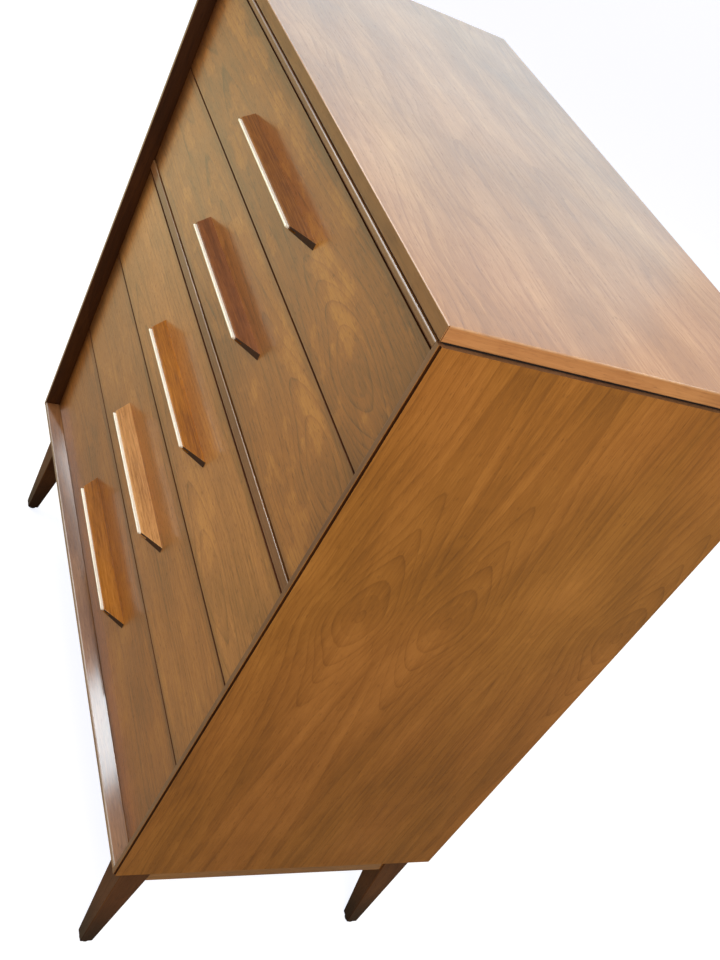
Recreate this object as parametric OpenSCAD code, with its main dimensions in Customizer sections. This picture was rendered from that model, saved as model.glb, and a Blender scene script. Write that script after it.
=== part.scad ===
// Chest of five drawers on a base frame with tapered legs.
// Millimetres. Origin: on the floor, under the middle of the overall box.
// +X is the chest's right as seen from the front, -Y is the front, +Z is up.

/* [Case] */
// Width of the case over its sides
case_w = 965; // [800:1:1200]
// Depth of the sides, front edge to back edge
case_d = 505; // [430:1:560]
// Height of the case, underside to top surface
case_h = 923; // [830:1:1020]
// Thickness of the side panels
side_t = 19; // [17:0.5:22]
// Width of a side panel's front edge, in front of its splayed inner face
side_edge_w = 9.6; // [8:0.1:12]
// Distance of the drawer fronts behind the front edges
face_recess = 22; // [16:0.5:26]
// Width and depth of the small rebate down each front outside corner
corner_rebate = 2.5; // [1.5:0.1:4]
// Thickness of the bottom panel
bottom_t = 14; // [12:0.5:20]
// Height of the ledge's front edge, from which its top slopes up to the drawers
ledge_edge_h = 6.5; // [4:0.5:9]
// Thickness of the back panel
back_t = 5; // [3:0.5:6]
// Depth of the rebate that holds the back panel
back_rebate_d = 6; // [6:0.5:9]
// How far the back and bottom panels are let into the sides
panel_let_in = 8; // [6:0.5:10]
// Slack of the back panel in its rebates, each way
panel_play = 0.5; // [0.2:0.1:1]

/* [Top] */
// Thickness of the top panel and its edge bands
top_t = 18; // [15:0.5:24]
// Width of the solid edge bands round the top panel
top_band_w = 12; // [8:0.5:20]
// Width of the glue line in the bands' mitres
mitre_gap = 0.05; // [0.03:0.01:0.1]
// Overhang of the top beyond the front edges of the sides
top_overhang = 3; // [0:0.5:6]
// Height of the shadow groove under the top
groove_h = 5; // [3:0.5:6]
// Depth of the shadow groove behind the case's faces
groove_d = 6; // [4:0.5:10]

/* [Rails] */
// Height of the top rail at its front edge
top_rail_edge_h = 8.5; // [6:0.5:12]
// Height of the top rails, behind the front one's splayed lower face
top_rail_h = 26; // [22:0.5:30]
// Height of the fixed rail between the second and third drawers
mid_rail_h = 16; // [13:0.5:22]
// Gap above and below the fixed rail
mid_rail_gap = 3.5; // [2:0.1:5]
// How far the fixed rail stands in front of the drawer fronts
mid_rail_proud = 1; // [0:0.5:3]
// Depth of the rails, front to back
rail_d = 62; // [50:1:80]
// Length of the tenons on the rails' ends
tenon_l = 8; // [6:0.5:10]
// Thickness of the tenons
tenon_t = 9; // [6:0.5:10]
// Width of the shoulders beside the tenons
tenon_shoulder = 7; // [4:0.5:10]
// Slack round a tenon
tenon_play = 0.1; // [0.05:0.05:0.2]

/* [Drawers] */
// How much lower the two fronts above the fixed rail are than the two below it
upper_front_less = 3; // [0:0.5:8]
// How much taller the lowest drawer front is than the two above it
low_front_extra = 18.5; // [0:0.5:30]
// Gap above and below each drawer front
front_gap = 2.5; // [1.5:0.1:4]
// Gap between a drawer and the side panels
side_gap = 2; // [1.5:0.1:3]
// Thickness of a drawer front
front_t = 19; // [17:0.5:22]
// Thickness of a drawer's sides
box_side_t = 13; // [12:0.5:15]
// Thickness of a drawer's back
box_back_t = 12; // [10:0.5:15]
// Space behind a shut drawer's box
box_back_gap = 33; // [15:1:60]
// Height of the drawer box above the lower edge of its front
box_lift = 8; // [6:0.5:12]
// Height of the front above the drawer box
box_drop = 14; // [10:0.5:20]
// Thickness of a drawer's bottom panel
box_bottom_t = 5; // [4:0.5:6]
// Height of the bottom panel above the lower edge of the box
box_bottom_up = 9; // [8:0.5:12]
// Depth of the slots that hold the bottom panel and the back
slot_d = 5; // [4:0.5:6]
// Slack of a panel in its slot
slot_play = 0.2; // [0.1:0.05:0.4]

/* [Dovetails] */
// Number of dovetails at each front corner of a drawer
tail_count = 5; // [3:1:6]
// Width of a tail where it leaves the side board
tail_w = 12; // [8:0.5:14]
// Length of the tails, let into the back of the front
tail_l = 12; // [10:0.5:14]
// Widening of a tail on each side, over its length
tail_flare = 2; // [1:0.1:3]
// Slack round each tail
tail_play = 0.1; // [0.05:0.05:0.2]

/* [Runners] */
// Height of the wooden runners
runner_h = 15; // [12:0.5:20]
// Depth of the runner grooves in the drawer sides
runner_groove_d = 7; // [6:0.5:8]
// Running clearance round a runner
run_clear = 0.5; // [0.3:0.1:1]
// Distance from a drawer front's inner face to the runner
runner_set = 30; // [25:1:40]

/* [Pulls] */
// Length of a pull where it meets the drawer front
pull_l = 311; // [270:1:360]
// Depth of the wooden part of a pull
pull_wood_d = 23.5; // [20:0.5:30]
// Height of a pull where it meets the drawer front
pull_back_h = 9.5; // [8:0.5:12]
// Height of a pull's wooden nose
pull_nose_h = 5.6; // [5:0.1:7]
// Distance of a pull's top below the upper edge of its drawer front
pull_set_down = 75.5; // [60:0.5:90]
// Depth of the metal strip in front of the nose
trim_d = 6.5; // [4:0.5:8]
// Distance of the metal strip's top below the wood's top
trim_set_down = 2.2; // [1.5:0.1:2.6]
// How much shorter than the wood's nose the strip is, at each end
trim_short = 5; // [2:0.5:10]
// Thickness of the strip's tongue
trim_tongue_t = 1.6; // [1.2:0.1:2]
// Depth of the strip's tongue
trim_tongue_d = 4; // [3:0.5:6]
// Distance between a pull's two screws
pull_screw_pitch = 192; // [128:16:224]

/* [Base] */
// Height of the case's underside above the floor
leg_h = 240; // [180:1:300]
// Width of a leg at its top
leg_top_w = 50; // [44:1:60]
// Width of a leg at its foot
leg_foot_w = 19; // [16:0.5:30]
// Inset of the legs from the sides
leg_inset_side = 25; // [10:1:40]
// Inset of the front legs from the front edges of the sides
leg_inset_front = 30; // [15:1:50]
// Inset of the back legs from the back edges of the sides
leg_inset_back = 2; // [0:1:40]
// Height of the base rails
base_rail_h = 70; // [50:1:90]
// Thickness of the base rails
base_rail_t = 20; // [16:0.5:25]
// Inset of the base rails from the legs' outer faces
base_rail_set = 3; // [1:0.5:6]
// Distance of a base rail tenon's end from the legs' outer faces
base_tenon_stop = 22; // [20:0.5:26]
// Thickness of the base rail tenons
base_tenon_t = 8; // [6:0.5:9]
// Width of the shoulders above and below the base rail tenons
base_tenon_shoulder = 10; // [6:0.5:15]
// Width of the corner braces
brace_w = 28; // [20:1:40]
// Height of the corner braces
brace_h = 40; // [25:1:45]
// Radius of the foot glides
glide_r = 8; // [6:0.5:8]
// Height of the foot glides
glide_h = 4; // [3:0.5:6]

/* [Fasteners] */
// Radius of a pull screw's shank
pull_screw_r = 2; // [1.5:0.1:2.5]
// Radius of a pull screw's head
pull_screw_head_r = 4.5; // [4:0.1:5.5]
// Height of a pull screw's head
pull_screw_head_h = 3; // [2:0.1:3.5]
// Depth of a pull screw in the pull
pull_screw_in = 14; // [10:0.5:16]
// Radius of a runner screw's shank
runner_screw_r = 1.5; // [1.2:0.1:1.8]
// Radius of a runner screw's head
runner_screw_head_r = 3; // [2.5:0.1:3.5]
// Height of a runner screw's head
runner_screw_head_h = 2; // [1.5:0.1:2.5]
// Depth of a runner screw in the side panel
runner_screw_in = 11; // [8:0.5:12]
// Distance of the runner screws from the runner's ends
runner_screw_end = 50; // [30:1:80]
// Length of a glide's nail
glide_nail_l = 12; // [8:0.5:16]
// Radius of a glide's nail
glide_nail_r = 1.5; // [1:0.1:2]
// Radial clearance of a shank in its hole
hole_clear = 0.1; // [0.05:0.05:0.2]

/* [Hidden] */
$fn = 48;
drawer_count = 5;
over = 1; // how far a cutting shape passes the face that it cuts

// Places along Y: the pulls, or the top, are the front of the overall box
pull_d = pull_wood_d + trim_d;
front_out = max(pull_d - face_recess, top_overhang);
front_y = -(case_d + front_out) / 2 + front_out;
back_y = front_y + case_d;
face_y = front_y + face_recess;
box_y = face_y + front_t;
back_panel_y = back_y - back_rebate_d;
box_l = back_panel_y - box_y - box_back_gap;
box_back_y = box_y + box_l - box_back_t - 2 * slot_d;

// Places along X
half_w = case_w / 2;
inner_w = case_w - 2 * side_t;
drawer_w = inner_w - 2 * side_gap;
box_inner_w = drawer_w - 2 * box_side_t;

// Places along Z
case_z = leg_h;
top_z = case_z + case_h - top_t;
side_h = case_h - top_t - groove_h;
face_bottom_z = case_z + bottom_t;
face_top_z = case_z + side_h - top_rail_h;
fronts_h = face_top_z - face_bottom_z - mid_rail_h - 2 * mid_rail_gap - drawer_count * front_gap;
front_h = (fronts_h + 2 * upper_front_less - low_front_extra) / drawer_count;
upper_front_h = front_h - upper_front_less;
low_front_h = front_h + low_front_extra;
mid_rail_z = face_top_z - 2 * (upper_front_h + front_gap) - mid_rail_gap - mid_rail_h;

// Drawers are numbered from the top
function drawer_h(i) = i <= 2 ? upper_front_h : i < drawer_count ? front_h : low_front_h;
function drawer_z(i) =
    i <= 2 ? face_top_z - i * (upper_front_h + front_gap)
    : i < drawer_count ? mid_rail_z - mid_rail_gap + front_gap - (i - 2) * (front_h + front_gap)
    : face_bottom_z + front_gap;
function box_h(i) = drawer_h(i) - box_lift - box_drop;
function box_z(i) = drawer_z(i) + box_lift;
function runner_z(i) = box_z(i) + box_h(i) / 2;
function pull_z(i) = drawer_z(i) + drawer_h(i) - pull_set_down;

runner_y = box_y + runner_set;
runner_l = box_l - runner_set;
runner_t = side_gap + runner_groove_d - run_clear;
glide_inset = leg_foot_w / 2;
leg_l = leg_h - glide_h;
leg_slope = (leg_top_w - leg_foot_w) / leg_l;
pull_tip = pull_l / 2 - pull_wood_d;
screw_z_drop = (pull_nose_h + pull_back_h) / 4;
underside_slope = (pull_back_h - pull_nose_h) / pull_wood_d;
tongue_z = -(trim_set_down + pull_nose_h) / 2;

drawer_parts = ["front", "side_left", "side_right", "back", "bottom", "pull", "pull_trim", "pull_screws"];
case_nodes = ["top_panel", "top_edge_bands", "top_spacer", "side_panel_left", "side_panel_right",
    "back_panel", "bottom_panel", "top_rails", "mid_rail", "drawer_runners", "runner_screws",
    "base_rail_front", "base_rail_back", "base_rails_side", "base_corner_braces",
    "leg_front_left", "leg_front_right", "leg_back_left", "leg_back_right", "foot_glides"];
drawer_nodes = [for (i = [1:drawer_count]) for (part = drawer_parts) str("drawer_", i, "_", part)];

veneer = "sienna";
solid_wood = "saddlebrown";
box_wood = "burlywood";
board = "tan";

// ---- Shared shapes ----

// A block from its low corner to its high corner
module block(low, high) {
    translate(low) cube(high - low);
}

// Children at both sides: as drawn on the right, mirrored on the left
module both_sides() {
    children();
    mirror([1, 0, 0]) children();
}

// An outline in Y and Z, as long along X as stated, centred on X = 0
module along_x(length) {
    translate([-length / 2, 0, 0]) rotate([90, 0, 90]) linear_extrude(height = length) children();
}

// An outline in X and Z, extruded towards +Y
module along_y(length) {
    translate([0, length, 0]) rotate([90, 0, 0]) linear_extrude(height = length) children();
}

// A round pan-head screw, its head's seat at the origin and its shank along +Z
module screw(shank_r, shank_l, head_r, head_h) {
    translate([0, 0, -head_h]) {
        cylinder(r = shank_r, h = head_h + shank_l);
        cylinder(r = head_r, h = head_h);
    }
}

// ---- Case ----

// Plan of the right side panel: inward is -X from the outside face, y from the front edge
module side_plan() {
    polygon([
        [0, corner_rebate],
        [-corner_rebate, corner_rebate],
        [-corner_rebate, 0],
        [-side_edge_w, 0],
        [-side_t, face_recess],
        [-side_t, case_d - back_rebate_d],
        [panel_let_in - side_t, case_d - back_rebate_d],
        [panel_let_in - side_t, case_d],
        [0, case_d]
    ]);
}

module side_panel() {
    color(veneer) difference() {
        translate([half_w, front_y, case_z]) linear_extrude(height = side_h) side_plan();
        // Rebate for the end of the bottom panel
        block([half_w - side_t - over, face_y, case_z - over],
            [half_w - side_t + panel_let_in, back_y + over, case_z + bottom_t]);
        rail_tenon(mid_rail_z + mid_rail_h / 2, tenon_play);
        rail_tenon(face_top_z + top_rail_h / 2, tenon_play);
        for (i = [1:drawer_count]) runner_screw_places(i)
            cylinder(r = runner_screw_r + hole_clear, h = runner_t + runner_screw_in + over);
    }
}

module side_panel_right() side_panel();

module side_panel_left() mirror([1, 0, 0]) side_panel();

// Tenons on both ends of a front rail, or their mortises when drawn with play
module rail_tenon(z, play) {
    length = inner_w + 2 * (tenon_l + play);
    block([-length / 2, face_y + tenon_shoulder - play, z - tenon_t / 2 - play],
        [length / 2, front_y + rail_d - tenon_shoulder + play, z + tenon_t / 2 + play]);
}

// Plan of a board that fills the front of the case between the splayed side faces
module splayed_plan(depth) {
    polygon([
        [side_edge_w - half_w, 0],
        [half_w - side_edge_w, 0],
        [half_w - side_t, face_recess],
        [half_w - side_t, depth],
        [side_t - half_w, depth],
        [side_t - half_w, face_recess]
    ]);
}

module bottom_panel() {
    panel_top = case_z + bottom_t;
    color(veneer) difference() {
        translate([0, front_y, case_z]) linear_extrude(height = bottom_t)
            union() {
                splayed_plan(case_d - back_rebate_d);
                translate([side_t - panel_let_in - half_w, face_recess])
                    square([case_w - 2 * (side_t - panel_let_in), case_d - back_rebate_d - face_recess]);
            }
        // Slope of the ledge, down to its front edge
        along_x(case_w) polygon([
            [front_y, case_z + ledge_edge_h],
            [face_y, panel_top],
            [face_y, panel_top + over],
            [front_y - over, panel_top + over],
            [front_y - over, case_z + ledge_edge_h]
        ]);
    }
}

module back_panel() {
    width = inner_w + 2 * (panel_let_in - panel_play);
    color(board) block(
        [-width / 2, back_panel_y, case_z + panel_play],
        [width / 2, back_panel_y + back_t, case_z + side_h - panel_play]);
}

// Front rail with a splayed lower face, and a plain back rail under the top
module top_rails() {
    rail_top = case_z + side_h;
    color(veneer) {
        intersection() {
            translate([0, front_y, face_top_z]) linear_extrude(height = top_rail_h) splayed_plan(rail_d);
            along_x(case_w) polygon([
                [front_y, rail_top],
                [front_y, rail_top - top_rail_edge_h],
                [face_y, face_top_z],
                [front_y + rail_d, face_top_z],
                [front_y + rail_d, rail_top]
            ]);
        }
        rail_tenon(face_top_z + top_rail_h / 2, 0);
        block([-inner_w / 2, back_panel_y - rail_d, face_top_z],
            [inner_w / 2, back_panel_y, rail_top]);
    }
}

module mid_rail() {
    color(veneer) {
        block([-inner_w / 2, face_y - mid_rail_proud, mid_rail_z],
            [inner_w / 2, front_y + rail_d, mid_rail_z + mid_rail_h]);
        rail_tenon(mid_rail_z + mid_rail_h / 2, 0);
    }
}

// Thin board set back all round, which leaves the shadow groove under the top
module top_spacer() {
    color("black") block(
        [groove_d - half_w, front_y + groove_d, top_z - groove_h],
        [half_w - groove_d, back_y, top_z]);
}

module top_panel() {
    color(veneer) block(
        [top_band_w - half_w, front_y - top_overhang + top_band_w, top_z],
        [half_w - top_band_w, back_y, top_z + top_t]);
}

// Solid bands on the front and the sides, mitred at the front corners
module top_edge_bands() {
    top_front_y = front_y - top_overhang;
    color(solid_wood) translate([0, 0, top_z]) linear_extrude(height = top_t) {
        polygon([
            [-half_w, top_front_y],
            [half_w, top_front_y],
            [half_w - top_band_w, top_front_y + top_band_w],
            [top_band_w - half_w, top_front_y + top_band_w]
        ]);
    }
    color(solid_wood) both_sides() translate([0, 0, top_z]) linear_extrude(height = top_t)
        polygon([
            [half_w, top_front_y + mitre_gap],
            [half_w, back_y],
            [half_w - top_band_w, back_y],
            [half_w - top_band_w, top_front_y + top_band_w + mitre_gap]
        ]);
}

// ---- Runners ----

// Children at the two screws of one right-hand runner, +Z towards the side panel
module runner_screw_places(i) {
    for (y = [runner_y + runner_screw_end, runner_y + runner_l - runner_screw_end])
        translate([half_w - side_t - runner_t + runner_screw_head_h, y, runner_z(i)])
            rotate([0, 90, 0]) children();
}

module drawer_runners() {
    color(box_wood) both_sides() for (i = [1:drawer_count]) difference() {
        block([half_w - side_t - runner_t, runner_y, runner_z(i) - runner_h / 2],
            [half_w - side_t, runner_y + runner_l, runner_z(i) + runner_h / 2]);
        runner_screw_places(i) {
            cylinder(r = runner_screw_r + hole_clear, h = runner_t + over);
            translate([0, 0, -runner_screw_head_h - over])
                cylinder(r = runner_screw_head_r + hole_clear, h = runner_screw_head_h + over);
        }
    }
}

module runner_screws() {
    shank_l = runner_t - runner_screw_head_h + runner_screw_in;
    color("silver") both_sides() for (i = [1:drawer_count]) runner_screw_places(i)
        screw(runner_screw_r, shank_l, runner_screw_head_r, runner_screw_head_h);
}

// ---- Base frame ----

// One tapered leg at the right front corner. Its outer faces are upright and its inner faces slope.
module leg() {
    taper = [[0, glide_h], [-leg_foot_w, glide_h], [-leg_top_w, leg_h], [0, leg_h]];
    color(solid_wood) difference() {
        intersection() {
            along_y(leg_top_w) polygon(taper);
            translate([-leg_top_w / 2, 0, 0]) along_x(leg_top_w) polygon([for (p = taper) [-p[0], p[1]]]);
        }
        translate([-glide_inset, glide_inset, 0])
            cylinder(r = glide_nail_r + hole_clear, h = glide_h + glide_nail_l + over);
        // Mortises for the two base rails
        base_mortise();
        mirror([1, 1, 0]) base_mortise();
    }
}

// Mortise for the rail along X, from the leg's outer corner
module base_mortise() {
    tenon_y = base_rail_set + (base_rail_t - base_tenon_t) / 2;
    low_z = leg_h - base_rail_h + base_tenon_shoulder;
    block([-leg_top_w - over, tenon_y - tenon_play, low_z - tenon_play],
        [tenon_play - base_tenon_stop, tenon_y + base_tenon_t + tenon_play,
            leg_h - base_tenon_shoulder + tenon_play]);
}

leg_x = half_w - leg_inset_side;
leg_front_y = front_y + leg_inset_front;
leg_back_y = back_y - leg_inset_back;

// Children drawn for the right front corner, set at the named corner
module at_corner(side, end) {
    y = end == "front" ? leg_front_y : leg_back_y;
    translate([side == "right" ? leg_x : -leg_x, y, 0])
        mirror([side == "right" ? 0 : 1, 0, 0])
        mirror([0, end == "front" ? 0 : 1, 0])
        children();
}

module at_corners() {
    for (side = ["left", "right"]) for (end = ["front", "back"]) at_corner(side, end) children();
}

module leg_front_left() at_corner("left", "front") leg();

module leg_front_right() at_corner("right", "front") leg();

module leg_back_left() at_corner("left", "back") leg();

module leg_back_right() at_corner("right", "back") leg();

// Outline of a base rail whose ends fit the sloping faces of the two legs
module base_rail_outline(span) {
    low = leg_top_w - leg_slope * base_rail_h;
    polygon([
        [leg_top_w, leg_h],
        [low, leg_h - base_rail_h],
        [span - low, leg_h - base_rail_h],
        [span - leg_top_w, leg_h]
    ]);
}

// Outline of a base rail's tenons, from one leg to the other
module base_tenon_outline(span) {
    translate([base_tenon_stop, leg_h - base_rail_h + base_tenon_shoulder])
        square([span - 2 * base_tenon_stop, base_rail_h - 2 * base_tenon_shoulder]);
}

module base_rail_long() {
    color(solid_wood) translate([-leg_x, 0, 0]) {
        along_y(base_rail_t) base_rail_outline(2 * leg_x);
        translate([0, (base_rail_t - base_tenon_t) / 2, 0])
            along_y(base_tenon_t) base_tenon_outline(2 * leg_x);
    }
}

module base_rail_front() translate([0, leg_front_y + base_rail_set, 0]) base_rail_long();

module base_rail_back() translate([0, leg_back_y - base_rail_set - base_rail_t, 0]) base_rail_long();

module base_rails_side() {
    span = leg_back_y - leg_front_y;
    color(solid_wood) both_sides() translate([leg_x - base_rail_set - base_rail_t / 2, leg_front_y, 0]) {
        along_x(base_rail_t) base_rail_outline(span);
        along_x(base_tenon_t) base_tenon_outline(span);
    }
}

// Diagonal braces across the corners of the base, just clear of the legs
module base_corner_braces() {
    rail_in = base_rail_set + base_rail_t;
    near = 2 * leg_top_w + base_rail_set;
    far = near + brace_w * sqrt(2);
    color(box_wood) at_corners() translate([0, 0, leg_h - base_rail_h / 2 - brace_h / 2])
        linear_extrude(height = brace_h) polygon([
            [-rail_in, near - rail_in],
            [-rail_in, far - rail_in],
            [rail_in - far, rail_in],
            [rail_in - near, rail_in]
        ]);
}

// Nail-on glides, the lowest pieces of the chest
module foot_glides() {
    color("dimgray") at_corners() translate([-glide_inset, glide_inset, 0]) {
        cylinder(r = glide_r, h = glide_h);
        cylinder(r = glide_nail_r, h = glide_h + glide_nail_l);
    }
}

// ---- Drawers ----

// Outlines in Y and Z of the dovetails of drawer i, on the side board's front end
module tails(i, play) {
    pitch = box_h(i) / tail_count;
    for (k = [0:tail_count - 1]) translate([box_y, box_z(i) + pitch * (k + 0.5)]) polygon([
        [over, -tail_w / 2 - play],
        [0, -tail_w / 2 - play],
        [-tail_l - play, -tail_w / 2 - tail_flare - play],
        [-tail_l - play, tail_w / 2 + tail_flare + play],
        [0, tail_w / 2 + play],
        [over, tail_w / 2 + play]
    ]);
}

module drawer_front(i) {
    z = drawer_z(i);
    color(veneer) difference() {
        block([-drawer_w / 2, face_y, z], [drawer_w / 2, box_y, z + drawer_h(i)]);
        both_sides() translate([drawer_w / 2 - box_side_t / 2 + over / 2, 0, 0])
            along_x(box_side_t + over + 2 * tail_play) tails(i, tail_play);
        // Slot for the bottom panel
        block([-box_inner_w / 2 - slot_d, box_y - slot_d, box_z(i) + box_bottom_up - slot_play],
            [box_inner_w / 2 + slot_d, box_y + over, box_z(i) + box_bottom_up + box_bottom_t + slot_play]);
        pull_screw_places(i) translate([0, 0, -over])
            cylinder(r = pull_screw_r + hole_clear, h = front_t + 2 * over);
    }
}

// Right-hand side board, with tails, a slot for the bottom and back, and a runner groove outside
module drawer_side(i) {
    z = box_z(i);
    inner_x = drawer_w / 2 - box_side_t;
    color(box_wood) difference() {
        union() {
            block([inner_x, box_y, z], [drawer_w / 2, box_y + box_l, z + box_h(i)]);
            translate([drawer_w / 2 - box_side_t / 2, 0, 0]) along_x(box_side_t) tails(i, 0);
        }
        block([inner_x - over, box_y - tail_l - over, z + box_bottom_up - slot_play],
            [inner_x + slot_d, box_y + box_l + over, z + box_bottom_up + box_bottom_t + slot_play]);
        block([inner_x - over, box_back_y - slot_play, z + box_bottom_up],
            [inner_x + slot_d, box_back_y + box_back_t + slot_play, z + box_h(i) + over]);
        block([drawer_w / 2 - runner_groove_d, runner_y - 5 * run_clear,
                runner_z(i) - runner_h / 2 - run_clear],
            [drawer_w / 2 + over, box_y + box_l + over, runner_z(i) + runner_h / 2 + run_clear]);
    }
}

module drawer_back(i) {
    width = box_inner_w + 2 * (slot_d - slot_play);
    color(box_wood) block(
        [-width / 2, box_back_y, box_z(i) + box_bottom_up + box_bottom_t],
        [width / 2, box_back_y + box_back_t, box_z(i) + box_h(i)]);
}

module drawer_bottom(i) {
    width = box_inner_w + 2 * (slot_d - slot_play);
    color(board) block(
        [-width / 2, box_y - slot_d + slot_play, box_z(i) + box_bottom_up],
        [width / 2, box_back_y + box_back_t + slot_play, box_z(i) + box_bottom_up + box_bottom_t]);
}

// ---- Pulls ----

// Children at a pull's two screws, on the front's inner face, +Z towards the pull
module pull_screw_places(i) {
    for (side = [-1, 1])
        translate([side * pull_screw_pitch / 2, box_y, pull_z(i) - screw_z_drop])
            rotate([90, 0, 0]) children();
}

// Section in Y and Z of a pull's wood: y from the drawer face, z from the pull's top
module pull_section() {
    difference() {
        polygon([
            [0, 0],
            [-pull_wood_d, 0],
            [-pull_wood_d, -pull_nose_h],
            [0, -pull_back_h]
        ]);
        // Slot for the strip's tongue
        translate([-pull_wood_d - over, tongue_z - trim_tongue_t / 2 - slot_play])
            square([trim_tongue_d + slot_play + over, trim_tongue_t + 2 * slot_play]);
    }
}

module drawer_pull(i) {
    half = pull_l / 2;
    color(solid_wood) difference() {
        intersection() {
            translate([0, face_y, pull_z(i)]) along_x(pull_l) pull_section();
            // Ends mitred at 45 degrees
            translate([0, face_y, pull_z(i) - pull_back_h]) linear_extrude(height = pull_back_h)
                polygon([[-half, 0], [-pull_tip, -pull_wood_d], [pull_tip, -pull_wood_d], [half, 0]]);
        }
        pull_screw_places(i)
            cylinder(r = pull_screw_r + hole_clear, h = front_t + pull_screw_in + over);
    }
}

// Metal strip on the nose, with a tongue. Its underside carries on the slope of the wood's.
module drawer_pull_trim(i) {
    length = 2 * (pull_tip - trim_short);
    color("khaki") translate([0, face_y - pull_wood_d, pull_z(i)]) along_x(length) union() {
        polygon([
            [0, -trim_set_down],
            [-trim_d, -trim_set_down],
            [-trim_d, underside_slope * trim_d - pull_nose_h],
            [0, -pull_nose_h]
        ]);
        translate([-over, tongue_z - trim_tongue_t / 2]) square([trim_tongue_d + over, trim_tongue_t]);
    }
}

module drawer_pull_screws(i) {
    color("silver") pull_screw_places(i)
        screw(pull_screw_r, front_t + pull_screw_in, pull_screw_head_r, pull_screw_head_h);
}

module drawer_part(i, part) {
    if (part == "front") drawer_front(i);
    if (part == "side_left") mirror([1, 0, 0]) drawer_side(i);
    if (part == "side_right") drawer_side(i);
    if (part == "back") drawer_back(i);
    if (part == "bottom") drawer_bottom(i);
    if (part == "pull") drawer_pull(i);
    if (part == "pull_trim") drawer_pull_trim(i);
    if (part == "pull_screws") drawer_pull_screws(i);
}

top_panel();
top_edge_bands();
top_spacer();
side_panel_left();
side_panel_right();
back_panel();
bottom_panel();
top_rails();
mid_rail();
drawer_runners();
runner_screws();
base_rail_front();
base_rail_back();
base_rails_side();
base_corner_braces();
leg_front_left();
leg_front_right();
leg_back_left();
leg_back_right();
foot_glides();
for (i = [1:drawer_count]) for (part = drawer_parts)
    drawer_part(i, part);
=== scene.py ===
"""Dresser with five drawers: modelled wood pieces, lacquered finishes, light and camera."""

import logging
import math
from collections.abc import Callable
from dataclasses import dataclass, replace
from enum import Enum

import bmesh
import bpy
from mathutils import Matrix, Vector


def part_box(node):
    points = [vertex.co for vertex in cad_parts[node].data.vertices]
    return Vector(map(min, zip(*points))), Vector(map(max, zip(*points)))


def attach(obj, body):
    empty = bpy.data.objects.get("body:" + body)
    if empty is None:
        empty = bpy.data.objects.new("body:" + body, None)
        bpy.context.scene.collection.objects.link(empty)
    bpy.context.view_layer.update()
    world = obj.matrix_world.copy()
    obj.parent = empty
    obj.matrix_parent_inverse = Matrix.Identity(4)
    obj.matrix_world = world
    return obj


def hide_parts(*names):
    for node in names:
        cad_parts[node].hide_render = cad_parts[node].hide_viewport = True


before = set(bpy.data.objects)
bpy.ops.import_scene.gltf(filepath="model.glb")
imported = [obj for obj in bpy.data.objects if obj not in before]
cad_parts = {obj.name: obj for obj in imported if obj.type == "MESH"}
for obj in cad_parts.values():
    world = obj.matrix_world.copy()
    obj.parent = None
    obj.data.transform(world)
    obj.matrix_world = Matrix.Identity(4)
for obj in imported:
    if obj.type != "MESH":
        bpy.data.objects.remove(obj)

LOG = logging.getLogger("dresser")
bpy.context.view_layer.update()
DRAWER_NUMBERS = (1, 2, 3, 4, 5)
QUARTER = math.pi / 2
CLOSE = 1e-5  # metres within which two places are one
NEAR = 1e-4  # the same for faces that a mitre gap or a taper moves a little
CREST = 0.9  # share of a small head's height above which its edges are rounded

Colour = tuple[float, float, float]
Tint = tuple[int, int, int]
Socket = bpy.types.NodeSocket
EdgeTest = Callable[[Vector, Vector], bool]
FaceTest = Callable[[Vector, Vector], bool]


def tint(red: int, green: int, blue: int) -> Colour:
    """Turns a colour as a screen shows it into the linear colour that shaders take.

    Args:
        red, green, blue: the channels, 0 to 255.

    Returns:
        The linear colour.
    """

    def linear(channel: int) -> float:
        """One channel, made linear."""
        value = channel / 255
        return value / 12.92 if value <= 0.04045 else ((value + 0.055) / 1.055) ** 2.4

    return linear(red), linear(green), linear(blue)


def stain(light: Tint, middle: Tint, dark: Tint) -> dict[str, Colour]:
    """Turns three screen colours into the light, middle and dark tones of a wood."""
    return {"light": tint(*light), "middle": tint(*middle), "dark": tint(*dark)}


class Grain(Enum):
    """How a face and its grain lie, as the turn into the wood's own axes.

    In those axes x runs across the grain, y goes into the board and z runs along the grain.
    """

    FRONT_LONG = (0.0, -QUARTER, 0.0)
    FRONT_UPRIGHT = (0.0, 0.0, 0.0)
    TOP_LONG = (-QUARTER, -QUARTER, 0.0)
    SIDE_UPRIGHT = (0.0, 0.0, -QUARTER)
    SIDE_LONG = (QUARTER, 0.0, QUARTER)


class Side(Enum):
    """A side of a box, as the axis that it closes and which end of it: 0 the low, 1 the high."""

    LEFT = (0, 0)
    RIGHT = (0, 1)
    FRONT = (1, 0)
    BACK = (1, 1)
    UNDER = (2, 0)
    TOP = (2, 1)


# ---- node wiring


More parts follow.
